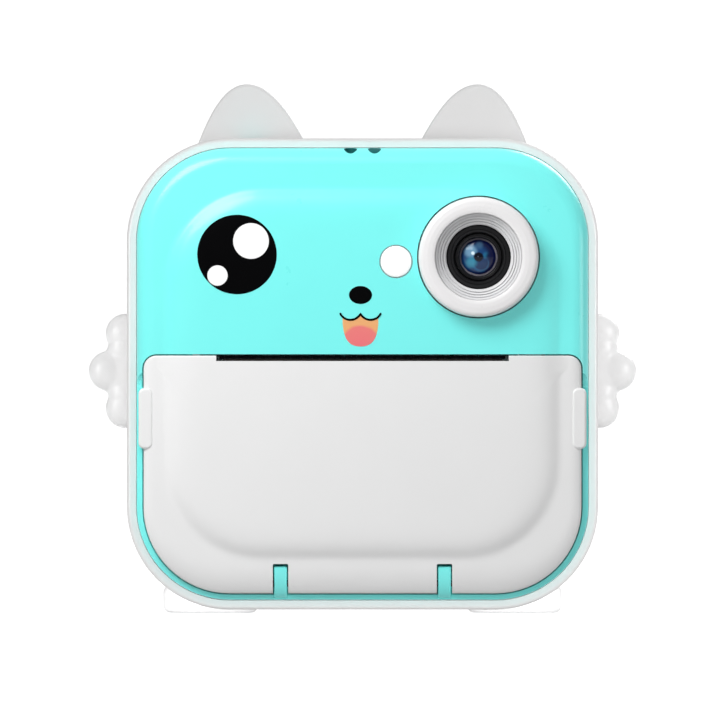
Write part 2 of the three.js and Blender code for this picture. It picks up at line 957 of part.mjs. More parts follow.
// ---------------------------------------------------------------- paper bay and roll
function paperBay() {
  const span = around(0, bay.half);
  const trough = cut(
    cylinderX(bay.outer, span, roll.y, roll.z, 32),
    cylinderX(bay.inner, around(0, bay.half - bay.cheek), roll.y, roll.z, 32),
    box(EVERYWHERE, [-40, bay.front], EVERYWHERE),
  );
  const paperExit = box(
    around(0, bay.half - bay.cheek),
    [bay.front - 1, roll.y - 1],
    [roll.z + 8, 50],
  );
  return cut(trough, paperExit);
}
add("paper_bay", paperBay(), material.aqua);

const rollSpan = around(0, roll.half);
add(
  "paper_roll",
  cut(
    cylinderX(roll.radius, rollSpan, roll.y, roll.z, 30),
    cylinderX(roll.core + 0.1, [-40, 40], roll.y, roll.z, 18),
  ),
  material.paper,
);
add(
  "paper_core",
  cut(
    cylinderX(roll.core - 0.2, rollSpan, roll.y, roll.z, 18),
    cylinderX(roll.bore, [-40, 40], roll.y, roll.z, 18),
  ),
  material.card,
);

// ---------------------------------------------------------------- printer
add(
  "platen_roller",
  cut(
    cylinderX(platen.radius, around(0, platen.half), platen.y, platen.z, 20),
    cylinderX(platen.shaft + GAP, [-40, 40], platen.y, platen.z, 12),
  ),
  material.rubber,
);
add(
  "platen_shaft",
  cylinderX(platen.shaft, [-33.4, 35.4], platen.y, platen.z, 12),
  material.steel,
);
add(
  "platen_gear",
  gear(
    teeth.platen,
    gearX.platen,
    platen.y,
    platen.z,
    0,
    platen.shaft + GAP,
  ),
  material.gear,
);
add(
  "reduction_gear",
  cut(
    join(
      gear(
        teeth.small,
        [gearX.platen[0], gearX.large[0] + 0.1],
        reduction.y,
        reduction.z,
        Math.PI / teeth.small,
      ),
      gear(
        teeth.large,
        gearX.large,
        reduction.y,
        reduction.z,
        motorAngle,
      ),
    ),
    cylinderX(1.3, [30, 40], reduction.y, reduction.z, 12),
  ),
  material.gear,
);
add(
  "motor_pinion",
  gear(
    teeth.pinion,
    gearX.large,
    motor.y,
    motor.z,
    motorAngle + Math.PI + Math.PI / teeth.pinion,
    1.1,
  ),
  material.gear,
);
add(
  "stepper_motor",
  cylinderX(motor.radius, [motor.from, motor.to], motor.y, motor.z, 24),
  material.steel,
);
add(
  "motor_shaft",
  cylinderX(0.8, [motor.to + GAP, gearX.large[1]], motor.y, motor.z, 10),
  material.steel,
);

function printerFrame() {
  const plate = (x0, x1) =>
    cut(
      box([x0, x1], [bay.front, 9], [40.8, 54]),
      box([x0 - 1, x1 + 1], [-20, platen.y + 2], around(platen.z, 1.9)),
      cylinderX(1.1, [x0 - 1, x1 + 1], -6, head.low + 1.6, 12),
    );
  const crossWall = box(around(0, 32), [-2, -0.8], [40.8, 43.2]);
  const backWall = box([-32, 17.6], [-2, -0.8], [42, 54]);
  const gearStud = cylinderX(1, [32, 37.4], reduction.y, reduction.z, 10);
  const whole = join(
    plate(-32.6, -31.5),
    plate(31.5, 32.6),
    crossWall,
    backWall,
    gearStud,
  );
  return cut(whole, cylinderX(1.5, [31, 33.2], motor.y, motor.z, 12));
}
add("printer_frame", printerFrame(), material.steel);

add(
  "print_head",
  box(around(0, head.half), [head.front, head.front + 1], [head.low + 2.8, head.top]),
  material.ceramic,
);
add(
  "head_heatsink",
  join(
    box(around(0, 30.8), [head.front + 1.3, -5.1], [head.low, head.top]),
    cylinderX(0.8, around(0, 32.4), -6, head.low + 1.6, 10),
  ),
  material.aluminium,
);
for (const [side, word] of [
  [-1, "left"],
  [1, "right"],
]) {
  const turns = 3;
  const wire = new THREE.CatmullRomCurve3(
    Array.from({ length: turns * 7 + 1 }, (_, i) => {
      const angle = (i * 2 * Math.PI) / 7;
      return new THREE.Vector3(
        side * 12 + 1.6 * Math.cos(angle),
        -2.45 - (1.7 * i) / (turns * 7),
        48 + 1.6 * Math.sin(angle),
      );
    }),
  );
  const section = new THREE.Shape();
  section.absarc(0, 0, 0.18, 0, 2 * Math.PI, false);
  const coil = new THREE.ExtrudeGeometry(section, {
    steps: turns * 7,
    curveSegments: 2,
    bevelEnabled: false,
    extrudePath: wire,
  });
  add(`head_spring_${word}`, solid(coil), material.steel);
}

export default camera;
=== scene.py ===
"""Looks for the kids' instant-print camera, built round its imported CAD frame.

Shapes are worked out in millimetres, in the frame's own axes, and scaled to metres when a piece is finished.
"""

import json
import math

import bmesh
import bpy
from mathutils import Matrix, Vector
from mathutils.bvhtree import BVHTree

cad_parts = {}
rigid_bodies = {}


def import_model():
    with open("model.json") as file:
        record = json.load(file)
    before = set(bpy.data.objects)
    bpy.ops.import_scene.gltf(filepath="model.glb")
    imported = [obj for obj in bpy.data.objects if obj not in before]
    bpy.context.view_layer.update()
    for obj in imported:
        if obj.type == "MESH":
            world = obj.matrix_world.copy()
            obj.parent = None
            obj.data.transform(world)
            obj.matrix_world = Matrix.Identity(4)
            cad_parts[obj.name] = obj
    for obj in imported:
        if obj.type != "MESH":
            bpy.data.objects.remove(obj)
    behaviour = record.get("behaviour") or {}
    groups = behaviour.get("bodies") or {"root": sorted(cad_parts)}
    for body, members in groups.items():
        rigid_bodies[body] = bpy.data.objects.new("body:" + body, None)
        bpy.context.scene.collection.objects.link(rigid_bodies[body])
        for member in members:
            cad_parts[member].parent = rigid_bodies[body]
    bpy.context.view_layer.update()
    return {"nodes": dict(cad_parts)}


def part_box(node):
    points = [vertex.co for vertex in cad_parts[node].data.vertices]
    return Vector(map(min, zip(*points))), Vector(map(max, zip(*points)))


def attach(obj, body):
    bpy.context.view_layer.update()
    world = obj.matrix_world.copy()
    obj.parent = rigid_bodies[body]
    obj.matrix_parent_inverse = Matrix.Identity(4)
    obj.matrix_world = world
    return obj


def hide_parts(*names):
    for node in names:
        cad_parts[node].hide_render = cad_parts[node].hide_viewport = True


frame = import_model()
NODES = frame["nodes"]
MM = 0.001

# ---- dimensions shared with the CAD model
CENTRE_Z = 47.9
COVER_HALF, COVER_CORNER = 45.2, 18.6
SHELL_HALF, SHELL_CORNER = 47.2, 20.6
SHELL_FRONT, SHELL_BACK, SHELL_INNER_BACK = -14.5, 24.4, 22.4
EDGE_Y, EDGE_FILLET = -17.0, 3.4
BAND_Y = EDGE_Y - EDGE_FILLET
LOW_REACH = 7.5  # the lower edge is eased further in than the others
PANEL_X, PANEL_Z, PANEL_CORNER = 39.1, 36.7, 19.0
PANEL_RISE, PANEL_RUN = 1.6, 8.0
DOOR_HALF, DOOR_LOW, DOOR_TOP = 43.8, 4.0, 51.6
DOOR_LOW_CORNER, DOOR_TOP_CORNER = 17.2, 2.6
DOOR_BACK, DOOR_SKIN, DOOR_WALL = -16.7, 1.8, 1.5
HINGE_Y, HINGE_Z = -18.6, 6.0
SEAT_FRONT, SEAT_BACK = -15.4, -14.0
NOTCH_X = 16.4
RECESS_TOP = DOOR_TOP + 0.25
SHELF_TOP = RECESS_TOP + 1.4
SCREWS = [(-36, 12), (36, 12), (-36, 84), (36, 84)]
ROLL_Y, ROLL_Z, ROLL_RADIUS = -2.6, 23.6, 14.8
SCREEN_Z = 62
FLANGE = 0.9  # round the foot of every key and button
PLATEN_Y, PLATEN_Z = -13.0, 46.0


def centre(node):
    """The middle of a CAD node's box, in millimetres."""
    low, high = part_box(node)
    return (low + high) / 2 / MM


def round_node(node):
    """The middle of a round CAD node with a flange, and its radius inside the flange."""
    low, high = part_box(node)
    return (low + high) / 2 / MM, (high.x - low.x) / 2 / MM - FLANGE


# ---- outlines
def quarter(steps):
    """The angles of a quarter turn in equal steps."""
    return [math.pi / 2 * i / steps for i in range(steps + 1)]


def rounded(half_x, half_z, low, high=None, cx=0.0, cz=CENTRE_Z, steps=20, straight=1):
    """A rectangle's outline with one radius for the low corners and one for the high ones, anticlockwise."""
    high = low if high is None else high
    corners = [
        (cx + half_x - low, cz - half_z + low, low, -90),
        (cx + half_x - high, cz + half_z - high, high, 0),
        (cx - half_x + high, cz + half_z - high, high, 90),
        (cx - half_x + low, cz - half_z + low, low, 180),
    ]
    arcs = []
    for x, z, radius, start in corners:
        angles = [math.radians(start + 90 * i / steps) for i in range(steps + 1)]
        arcs.append([(x + radius * math.cos(a), z + radius * math.sin(a)) for a in angles])
    points = []
    for arc, following in zip(arcs, arcs[1:] + arcs[:1]):
        points += arc
        (ax, az), (bx, bz) = arc[-1], following[0]
        points += [
            (ax + (bx - ax) * k / straight, az + (bz - az) * k / straight)
            for k in range(1, straight)
        ]
    return points


def ellipse(cx, cz, rx, rz, count=48):
    angles = [2 * math.pi * i / count for i in range(count)]
    return [(cx + rx * math.cos(a), cz + rz * math.sin(a)) for a in angles]


def soften(points, radius, closed=False, steps=4):
    """Rounds the corners of a line of 2-D points."""
    made = []
    last = len(points) - 1
    for i, p in enumerate(points):
        if not closed and i in (0, last):
            made.append(p)
            continue
        p, a, b = Vector(p), Vector(points[i - 1]), Vector(points[(i + 1) % len(points)])
        to_a, to_b = a - p, b - p
        turn = to_a.angle(to_b, math.pi) / 2
        reach = min(radius / max(math.tan(turn), 1e-3), 0.45 * to_a.length, 0.45 * to_b.length)
        start, end = p + to_a.normalized() * reach, p + to_b.normalized() * reach
        for k in range(steps + 1):
            t = k / steps
            q = start * (1 - t) ** 2 + p * 2 * t * (1 - t) + end * t * t
            made.append((q.x, q.y))
    return made


def bezier(a, b, c, d, count):
    """Points along a cubic curve, without its last one."""
    made = []
    for i in range(count):
        t = i / count
        w = ((1 - t) ** 3, 3 * t * (1 - t) ** 2, 3 * t * t * (1 - t), t**3)
        made.append(tuple(sum(k * p[j] for k, p in zip(w, (a, b, c, d))) for j in (0, 1)))
    return made


def inset(points, distance):
    """A closed anticlockwise outline moved inwards."""
    made = []
    for i, p in enumerate(points):
        p, a, b = Vector(p), Vector(points[i - 1]), Vector(points[(i + 1) % len(points)])
        u, v = (p - a).normalized(), (b - p).normalized()
        normal = Vector((-(u.y + v.y), u.x + v.x))
        if normal.length < 1e-6:
            made.append(tuple(p))
            continue
        normal.normalize()
        across = max(0.6, normal.dot(Vector((-u.y, u.x))))
        q = p + normal * distance / across
        made.append((q.x, q.y))
    return made


# ---- solids
def xz(u, v, w):
    return (u, w, v)


def yz(u, v, w):
    return (w, u, v)


def xy(u, v, w):
    return (u, v, w)


def new_object(name, data):
    made = bpy.data.objects.new(name, data)
    bpy.context.scene.collection.objects.link(made)
    return made


def from_bmesh(name, work):
    mesh = bpy.data.meshes.new(name)
    work.to_mesh(mesh)
    work.free()
    return new_object(name, mesh)


def solid(vertices, faces):
    mesh = bpy.data.meshes.new("solid")
    mesh.from_pydata([Vector(v) for v in vertices], [], faces)
    work = bmesh.new()
    work.from_mesh(mesh)
    bmesh.ops.remove_doubles(work, verts=work.verts, dist=1e-5)
    bmesh.ops.recalc_face_normals(work, faces=work.faces)
    work.to_mesh(mesh)
    work.free()
    return new_object("solid", mesh)


def loft(rings, closed=False):
    """A solid through rings of as many points each, capped at its ends unless it closes on itself."""
    n = len(rings[0])
    vertices = [p for ring in rings for p in ring]
    spans = len(rings) if closed else len(rings) - 1
    faces = []
    for i in range(spans):
        a, b = i * n, (i + 1) % len(rings) * n
        faces += [(a + j, a + (j + 1) % n, b + (j + 1) % n, b + j) for j in range(n)]
    if not closed:
        faces += [tuple(range(n)), tuple(range((len(rings) - 1) * n, len(rings) * n))]
    return solid(vertices, faces)


def slab(outline, low, high, radius, plane, steps=5):
    """An outline given thickness along the plane's normal, with rounded edges."""
    turns = quarter(steps)
    if radius:
        first = [(radius * (1 - math.sin(a)), low + radius * (1 - math.cos(a))) for a in turns]
        second = [(radius * (1 - math.sin(a)), high - radius * (1 - math.cos(a))) for a in turns]
    else:
        first, second = [(0, low)], [(0, high)]
    levels = first + second[::-1]
    return loft([[plane(*p, w) for p in inset(outline, d)] for d, w in levels])


def turned(profile, axis, at, segments=64):
    """A profile of (radius, place along the axis) turned round an axis through at."""
    plane = {"X": yz, "Y": xz, "Z": xy}[axis]
    rings = [
        [plane(at[0] + u, at[1] + v, place) for u, v in ellipse(0, 0, radius, radius, segments)]
        for radius, place in profile
    ]
    closed = profile[0] == profile[-1]
    return loft(rings[:-1] if closed else rings, closed)


def rod(radius, span, axis, at, segments=48, edge=0.15):
    low, high = span
    profile = [(0, low), (radius, low), (radius, high), (0, high)]
    return turned(soften(profile, edge, steps=3), axis, at, segments)


def pipe(outer, inner, span, axis, at, segments=96, edge=0.15):
    low, high = span
    profile = [(inner, low), (outer, low), (outer, high), (inner, high)]
    profile = soften(profile, edge, closed=True, steps=3)
    return turned(profile + profile[:1], axis, at, segments)


def block(x, y, z, radius=0.0):
    cx, cy = (x[0] + x[1]) / 2, (y[0] + y[1]) / 2
    corner = max(radius, 1e-3)
    outline = rounded((x[1] - x[0]) / 2, (y[1] - y[0]) / 2, corner, cx=cx, cz=cy, steps=4)
    return slab(outline, z[0], z[1], radius, xy, 4)


def refresh(made):
    """Applies the object's modifiers to its mesh."""
    graph = bpy.context.evaluated_depsgraph_get()
    graph.update()
    mesh = bpy.data.meshes.new_from_object(made.evaluated_get(graph))
    made.modifiers.clear()
    made.data = mesh
    return made


def combine(base, operation, *tools):
    for tool in tools:
        modifier = base.modifiers.new("combine", "BOOLEAN")
        modifier.operation = operation
        modifier.solver = "EXACT"
        modifier.object = tool
    refresh(base)
    for tool in tools:
        bpy.data.objects.remove(tool)
    return base


def cut(base, *tools):
    return combine(base, "DIFFERENCE", *tools)


def fuse(base, *tools):
    return combine(base, "UNION", *tools)


def common(base, tool):
    return combine(base, "INTERSECT", tool)


def together(*solids):
    """Solids that don't touch, as one object."""
    work = bmesh.new()
    for s in solids:
        work.from_mesh(s.data)
        bpy.data.objects.remove(s)
    return from_bmesh("together", work)


def mirrored(made, name):
    copy = new_object(name, made.data.copy())
    copy.data.transform(Matrix.Scale(-1, 4, (1, 0, 0)))
    copy.data.flip_normals()
    return copy


def piece(made, name, body, material, nodes=None, sharp=32):
    """Finishes a solid as a piece: metres, shading, material, and what it rides on and stands for."""
    made.name = name
    made.data.name = name
    made.data.transform(Matrix.Scale(MM, 4))
    made.data.materials.clear()
    made.data.materials.append(material)
    made.data.shade_smooth()
    made.data.set_sharp_from_angle(angle=math.radians(sharp))
    modifier = made.modifiers.new("normals", "WEIGHTED_NORMAL")
    modifier.keep_sharp = True
    modifier.weight = 60
    refresh(made)
    made.data.name = name
    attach(made, body)
    nodes = [name.removesuffix("_body")] if nodes is None else nodes
    if nodes:
        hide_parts(*nodes)
    return made


# ---- materials
def put(node, **values):
    """Sets a node's settings, and its inputs by name, with underscores for the spaces."""
    for key, value in values.items():
        if hasattr(node, key):
            setattr(node, key, value)
        else:
            node.inputs[key.replace("_", " ")].default_value = value
    return node


def wiring(tree):
    """What links two sockets of a tree, and what adds a node to it."""
    return tree.links.new, lambda kind, **values: put(tree.nodes.new("ShaderNode" + kind), **values)


def new_material(name):
    material = bpy.data.materials.new(name)
    material.use_nodes = True
    link, node = wiring(material.node_tree)
    return material, link, material.node_tree.nodes["Principled BSDF"], node


def set_stops(ramp, stops):
    """Gives a colour ramp its stops, each a (position, colour)."""
    elements = ramp.color_ramp.elements
    while len(elements) < len(stops):
        elements.new(0.5)
    for element, (position, colour) in zip(elements, stops):
        element.position = position
        element.color = (*colour, 1.0)


def shade(colour, factor):
    return tuple(min(1.0, c * factor) for c in colour)


def surface(
    name, colour, roughness, metallic=0.0, coat=0.0, mottle=0.02, mottle_scale=70.0, vary=0.05,
    vary_scale=180.0, grain_scale=2600.0, grain=0.05, grain_depth=0.00002, streak=(1, 1, 1),
    specular=0.5, subsurface=0.0, glow=0.0,
):
    """A moulded, painted or metal surface: uneven tone, uneven gloss and a fine grain."""
    material, link, shader, node = new_material(name)
    place = node("TexCoord")
    stretch = node("Mapping", Scale=streak)
    link(place.outputs["Object"], stretch.inputs["Vector"])

    tone = node("TexNoise", Scale=mottle_scale, Detail=4.0, Roughness=0.55)
    link(stretch.outputs["Vector"], tone.inputs["Vector"])
    ramp = node("ValToRGB")
    set_stops(ramp, [(0.3, shade(colour, 1 - mottle)), (0.7, shade(colour, 1 + mottle))])
    link(tone.outputs["Fac"], ramp.inputs["Fac"])
    link(ramp.outputs["Color"], shader.inputs["Base Color"])

    gloss = node("TexNoise", Scale=vary_scale, Detail=5.0, Roughness=0.6)
    link(stretch.outputs["Vector"], gloss.inputs["Vector"])
    least, most = max(0.02, roughness - vary), roughness + vary
    spread = node("MapRange", From_Min=0.3, From_Max=0.7, To_Min=least, To_Max=most)
    link(gloss.outputs["Fac"], spread.inputs["Value"])
    link(spread.outputs["Result"], shader.inputs["Roughness"])

    fine = node("TexNoise", Scale=grain_scale, Detail=3.0, Roughness=0.6)
    link(stretch.outputs["Vector"], fine.inputs["Vector"])
    bump = node("Bump", Strength=grain, Distance=grain_depth)
    link(fine.outputs["Fac"], bump.inputs["Height"])
    link(bump.outputs["Normal"], shader.inputs["Normal"])

    put(shader, Metallic=metallic, Specular_IOR_Level=specular)
    put(shader, Coat_Weight=coat, Coat_Roughness=0.12)
    # glow makes a surface give off light: an evenly bright floor, or painted light on the flash window.
    if glow:
        put(shader, Emission_Color=(1, 1, 1, 1), Emission_Strength=glow)
    if subsurface:
        reach = (0.002, 0.002, 0.002)
        put(shader, Subsurface_Weight=subsurface, Subsurface_Radius=reach, Subsurface_Scale=1.0)
    return material


def about_axis(link, node, at, reach, axis):
    """Object coordinates, and the same from an axis through at, in shares of reach."""
    place = node("TexCoord")
    kept = {"X": (0, 1, 1), "Y": (1, 0, 1)}[axis]
    scale = [k / (reach * MM) for k in kept]
    shift = node("Mapping", Scale=scale, Location=[-a * k / reach for a, k in zip(at, kept)])
    link(place.outputs["Object"], shift.inputs["Vector"])
    return place, shift


def radial(name, stops, roughness, at, reach, axis="Y", rings=None):
    """Colours by distance from an axis through at: stops are (share of reach, colour)."""
    material, link, shader, node = new_material(name)
    place, shift = about_axis(link, node, at, reach, axis)
    length = node("VectorMath", operation="LENGTH")
    link(shift.outputs["Vector"], length.inputs[0])
    wobble = node("TexNoise", Scale=900.0, Detail=3.0)
    link(place.outputs["Object"], wobble.inputs["Vector"])
    away = node("Math", operation="MULTIPLY_ADD")
    away.inputs[1].default_value = 0.04
    link(wobble.outputs["Fac"], away.inputs[0])
    link(length.outputs["Value"], away.inputs[2])
    ramp = node("ValToRGB")
    set_stops(ramp, stops)
    link(away.outputs["Value"], ramp.inputs["Fac"])
    link(ramp.outputs["Color"], shader.inputs["Base Color"])
    if rings:
        wave = node("Math", operation="SINE")
        many = node("Math", operation="MULTIPLY")
        many.inputs[1].default_value = rings
        link(length.outputs["Value"], many.inputs[0])
        link(many.outputs["Value"], wave.inputs[0])
        bump = node("Bump", Strength=0.25, Distance=0.00003)
        link(wave.outputs["Value"], bump.inputs["Height"])
        link(bump.outputs["Normal"], shader.inputs["Normal"])
    spread = node("MapRange", To_Min=roughness, To_Max=roughness + 0.04)
    link(wobble.outputs["Fac"], spread.inputs["Value"])
    link(spread.outputs["Result"], shader.inputs["Roughness"])
    put(shader, Coat_Roughness=0.02)
    return material


def plastic(name, colour, roughness, coat=0.1, mottle=0.006, **more):
    return surface(name, colour, roughness, coat=coat, mottle=mottle, vary=0.03, **more)


AQUA = plastic("aqua_abs", (0.19, 0.93, 0.89), 0.30, 0.2, 0.010)
# Dark aqua for the tubes lining the lanyard holes: painted shade for the inside of the holes.
PAINTED_HOLE_SHADE = plastic("aqua_shade", (0.008, 0.11, 0.11), 0.5, 0.0, 0.03, specular=0.1)
WHITE = plastic("white_abs", (0.93, 0.93, 0.93), 0.34)
WHITE_DOOR = plastic("door_abs", (0.86, 0.86, 0.86), 0.36)
# The rear shell's white is darker than the wings' white: painted shade for the rim beside the proud front
# cover.
SHADED_RIM_WHITE = plastic("rim_abs", (0.74, 0.725, 0.725), 0.32, 0.15)
BEZEL = plastic("bezel_abs", (0.86, 0.85, 0.855), 0.30, 0.15)
# The funnel's rings are the bezel's white made darker: painted shade for the inside of the lens funnel.
SHADED_FUNNEL = plastic("funnel_abs", (0.76, 0.76, 0.77), 0.36, 0.0, 0.01)
FOOT = plastic("foot_abs", (0.90, 0.90, 0.90), 0.4, 0.0)
# The ears are white plastic made grey: painted shade for how they sit behind the rim.
EAR_SHADED_WHITE = plastic("ear_abs", (0.70, 0.70, 0.70), 0.45, 0.0, 0.010, specular=0.3)
BLACK = surface("black_abs", (0.009, 0.009, 0.010), 0.36, mottle=0.2, grain=0.12, specular=0.12)
BLACK_EDGE = surface("tear_bar_black", (0.002, 0.002, 0.003), 0.5, mottle=0.2, grain=0.2, specular=0.02)
INK_BLACK = surface("ink_black", (0.0015, 0.0015, 0.0018), 0.5, mottle=0.1, grain=0.03, specular=0.015)
INK_WHITE = surface("ink_white", (0.98, 0.98, 0.98), 0.4, mottle=0.008, grain=0.03)
# The flash window gives off a little light of its own though the flash is off: painted light.
GLOWING_DIFFUSER = surface("flash_diffuser", (0.98, 0.98, 0.98), 0.2, coat=0.5, mottle=0.006, glow=0.08)
SCREEN = surface("screen_glass", (0.004, 0.004, 0.006), 0.05, mottle=0.3, vary=0.02, grain=0.0, specular=0.4)
SCREEN_LIVE = surface("screen_live", (0.012, 0.014, 0.020), 0.10, mottle=0.1, vary=0.02, specular=0.4)
RUBBER = surface(
    "platen_rubber", (0.014, 0.014, 0.015), 0.7, mottle=0.2, grain=0.4, grain_scale=4200, specular=0.3
)
CERAMIC = surface("head_ceramic", (0.12, 0.055, 0.035), 0.25, coat=0.5, mottle=0.1)
BOARD = surface("solder_mask", (0.012, 0.17, 0.06), 0.38, coat=0.3, mottle=0.25, mottle_scale=420)
FOIL = surface("battery_foil", (0.46, 0.50, 0.55), 0.4, 0.7, mottle=0.08, grain=0.3, grain_scale=700)
CARD = surface("core_card", (0.42, 0.27, 0.14), 0.9, mottle=0.15, mottle_scale=500, grain=0.5)
ACETAL = surface("gear_acetal", (0.80, 0.76, 0.64), 0.42, mottle=0.03, subsurface=0.15)
DRAWN, BRUSHED = (0.15, 1, 1), (0.08, 1, 1)
STEEL = surface("steel", (0.56, 0.57, 0.58), 0.32, 1.0, mottle=0.08, vary=0.1, streak=DRAWN)
# The hinge pins are near black, darker than bare steel, so the gaps beside the hinge fingers read dark:
# painted shade.
PIN_STEEL = surface("blackened_steel", (0.05, 0.05, 0.055), 0.5, 1.0, mottle=0.1, streak=DRAWN)
ZINC = surface("zinc_plate", (0.48, 0.50, 0.53), 0.42, 1.0, mottle=0.14, mottle_scale=260)
ALUMINIUM = surface("aluminium", (0.66, 0.67, 0.68), 0.38, 1.0, mottle=0.05, streak=BRUSHED)
SPRING = surface("spring_wire", (0.50, 0.50, 0.52), 0.25, 1.0, mottle=0.06)


def coated_glass(name, at, reach):
    """Dark glass whose colour holds painted reflections: the broken blue ones that coated elements behind
    each other show, a pale rim and a white highlight.
    """
    material, link, shader, node = new_material(name)
    place, shift = about_axis(link, node, at, reach, "Y")
    swirl = node("TexNoise", Scale=2.2, Detail=3.0, Roughness=0.6)
    link(shift.outputs["Vector"], swirl.inputs["Vector"])
    painted = None
    for (x, z), inner, outer, strength, colour in PAINTED_REFLECTIONS:
        away = node("VectorMath", operation="DISTANCE")
        away.inputs[1].default_value = (x, 0, z)
        link(shift.outputs["Vector"], away.inputs[0])
        bent = node("Math", operation="MULTIPLY_ADD")
        bent.inputs[1].default_value = 0.10
        link(swirl.outputs["Fac"], bent.inputs[0])
        link(away.outputs["Value"], bent.inputs[2])
        mask = node("MapRange", interpolation_type="SMOOTHSTEP", To_Max=strength)
        put(mask, From_Min=outer + 0.05, From_Max=inner + 0.05)
        link(bent.outputs["Value"], mask.inputs["Value"])
        layer = node("Mix", data_type="RGBA", A=(0.002, 0.003, 0.018, 1.0), B=(*colour, 1.0))
        link(mask.outputs["Result"], layer.inputs["Factor"])
        if painted:
            link(painted, layer.inputs["A"])
        painted = layer.outputs["Result"]
    link(painted, shader.inputs["Base Color"])
    film = node("TexNoise", Scale=400.0, Detail=2.0)
    link(place.outputs["Object"], film.inputs["Vector"])
    spread = node("MapRange", To_Min=0.02, To_Max=0.05)
    link(film.outputs["Fac"], spread.inputs["Value"])
    link(spread.outputs["Result"], shader.inputs["Roughness"])
    put(shader, Specular_IOR_Level=0.22)
    return material


# Painted reflections and a painted highlight in the glass's colour, from the back to the front: centre, full
# and no strength radius, strength, colour.
PAINTED_REFLECTIONS = [
    ((0, 0), 0.99, 1.03, 0.8, (0.34, 0.32, 0.36)),
    ((0, 0), 0.91, 0.95, 1.0, (0.003, 0.006, 0.05)),
    ((-0.15, -0.05), 0.55, 0.88, 0.9, (0.008, 0.06, 0.19)),
    ((0.10, -0.35), 0.40, 0.50, 0.6, (0.02, 0.14, 0.32)),
    ((0.12, -0.28), 0.36, 0.42, 0.8, (0.004, 0.02, 0.09)),
    ((-0.42, 0.30), 0.18, 0.46, 0.85, (0.20, 0.40, 0.58)),
    ((-0.38, -0.28), 0.12, 0.42, 0.85, (0.03, 0.28, 0.42)),
    ((0.42, 0.08), 0.05, 0.26, 0.8, (0.02, 0.20, 0.36)),
    ((0.62, 0.05), 0.10, 0.34, 0.9, (0.002, 0.004, 0.05)),
    ((0.05, 0.62), 0.05, 0.30, 0.6, (0.06, 0.16, 0.28)),
    ((0, 0), 0.20, 0.30, 1.0, (0.001, 0.002, 0.010)),
    ((-0.02, 0.02), 0.02, 0.05, 0.7, (0.10, 0.12, 0.16)),
    # a painted white highlight
    ((-0.30, 0.21), 0.05, 0.12, 1.0, (0.75, 0.92, 1.0)),
]

shades = [(0.44, (0.66, 0.64, 0.60)), (0.5, (0.82, 0.82, 0.80)), (1.0, (0.86, 0.86, 0.84))]
PAPER = radial("thermal_paper", shades, 0.75, (0, ROLL_Y, ROLL_Z), ROLL_RADIUS, axis="X", rings=900.0)

# ---- the front form, shared by cover and door
RISE_RUNS = [8, 7, 6, 5, 4.2, 3.5, 2.9, 2.4, 1.9, 1.5, 1.15, 0.85, 0.6, 0.4, 0.2, 0]
RISE_RUNS += [-0.2, -0.45, -0.8, -1.2]


def rise(run):
    """How far the panel stands in front of the band, this far in from its foot."""
    softened = 0.35 * math.log1p(math.exp(run / 0.35)) if run < 4 else run
    scale = 1.9
    return PANEL_RISE * (1 - math.exp(-softened / scale)) / (1 - math.exp(-PANEL_RUN / scale))


def ring(half_x, half_z, corner, y, **extra):
    return [(x, y, z) for x, z in rounded(half_x, half_z, corner, **extra)]


def front_form(inwards, back):
    rings = []
    for run in RISE_RUNS:
        d = run + inwards
        rings.append(ring(PANEL_X - d, PANEL_Z - d, PANEL_CORNER - d, BAND_Y - rise(run) + inwards))
    for i in range(15):
        a = math.pi / 2 * (1 - i / 14)
        d = EDGE_FILLET * (1 - math.cos(a)) + inwards
        y = EDGE_Y - EDGE_FILLET * math.sin(a) + inwards
        eased = []
        for x, y, z in ring(COVER_HALF - d, COVER_HALF - d, COVER_CORNER - d, y):
            low = max(0.0, (CENTRE_Z - z) / (COVER_HALF - d)) ** 3
            lift = low * (LOW_REACH - EDGE_FILLET) * (d - inwards) / EDGE_FILLET
            eased.append((x, y, z + lift))
        rings.append(eased)
    half = COVER_HALF - inwards
    rings.append(ring(half, half, COVER_CORNER - inwards, back))
    return loft(rings)


def tree_of(made):
    work = bmesh.new()
    work.from_mesh(made.data)
    tree = BVHTree.FromBMesh(work)
    work.free()
    return tree


probe = front_form(0, -8)
form_tree = tree_of(probe)
bpy.data.objects.remove(probe)


def form_y(x, z, tree=form_tree):
    """Where the front surface is at x, z."""
    hit = tree.ray_cast(Vector((x, -60.0, z)), Vector((0, 1, 0)))[0]
    return hit.y if hit else EDGE_Y


def body_prism(half, corner, low, high):
    return slab(rounded(half, half, corner), low, high, 0, xz)


# ---- front cover
def door_outline(grow, **extra):
    half_z = (DOOR_TOP - DOOR_LOW) / 2 + grow
    return rounded(
        DOOR_HALF + grow,
        half_z,
        max(DOOR_LOW_CORNER + grow, 0.2),
        max(DOOR_TOP_CORNER + grow, 0.2),
        cz=(DOOR_TOP + DOOR_LOW) / 2,
        **extra,
    )


def hinge_finger(x):
    """A rounded finger that follows the front's lower edge and holds a hinge pin."""
    profile = []
    for a in quarter(10):
        profile.append((EDGE_Y - (EDGE_FILLET - 0.4) * math.sin(a), 2.9 + 6.8 * (1 - math.cos(a))))
    profile = [p for p in profile if p[1] < 9]
    profile += [(BAND_Y + 0.5, 9.2), (BAND_Y + 0.8, 9.4), (-14.9, 9.4), (-14.9, 2.9)]
    finger = slab(profile[::-1], x - 1.3, x + 1.3, 0.3, yz)
    return cut(finger, rod(0.72, (x - 3, x + 3), "X", (HINGE_Y, HINGE_Z), 32, 0))


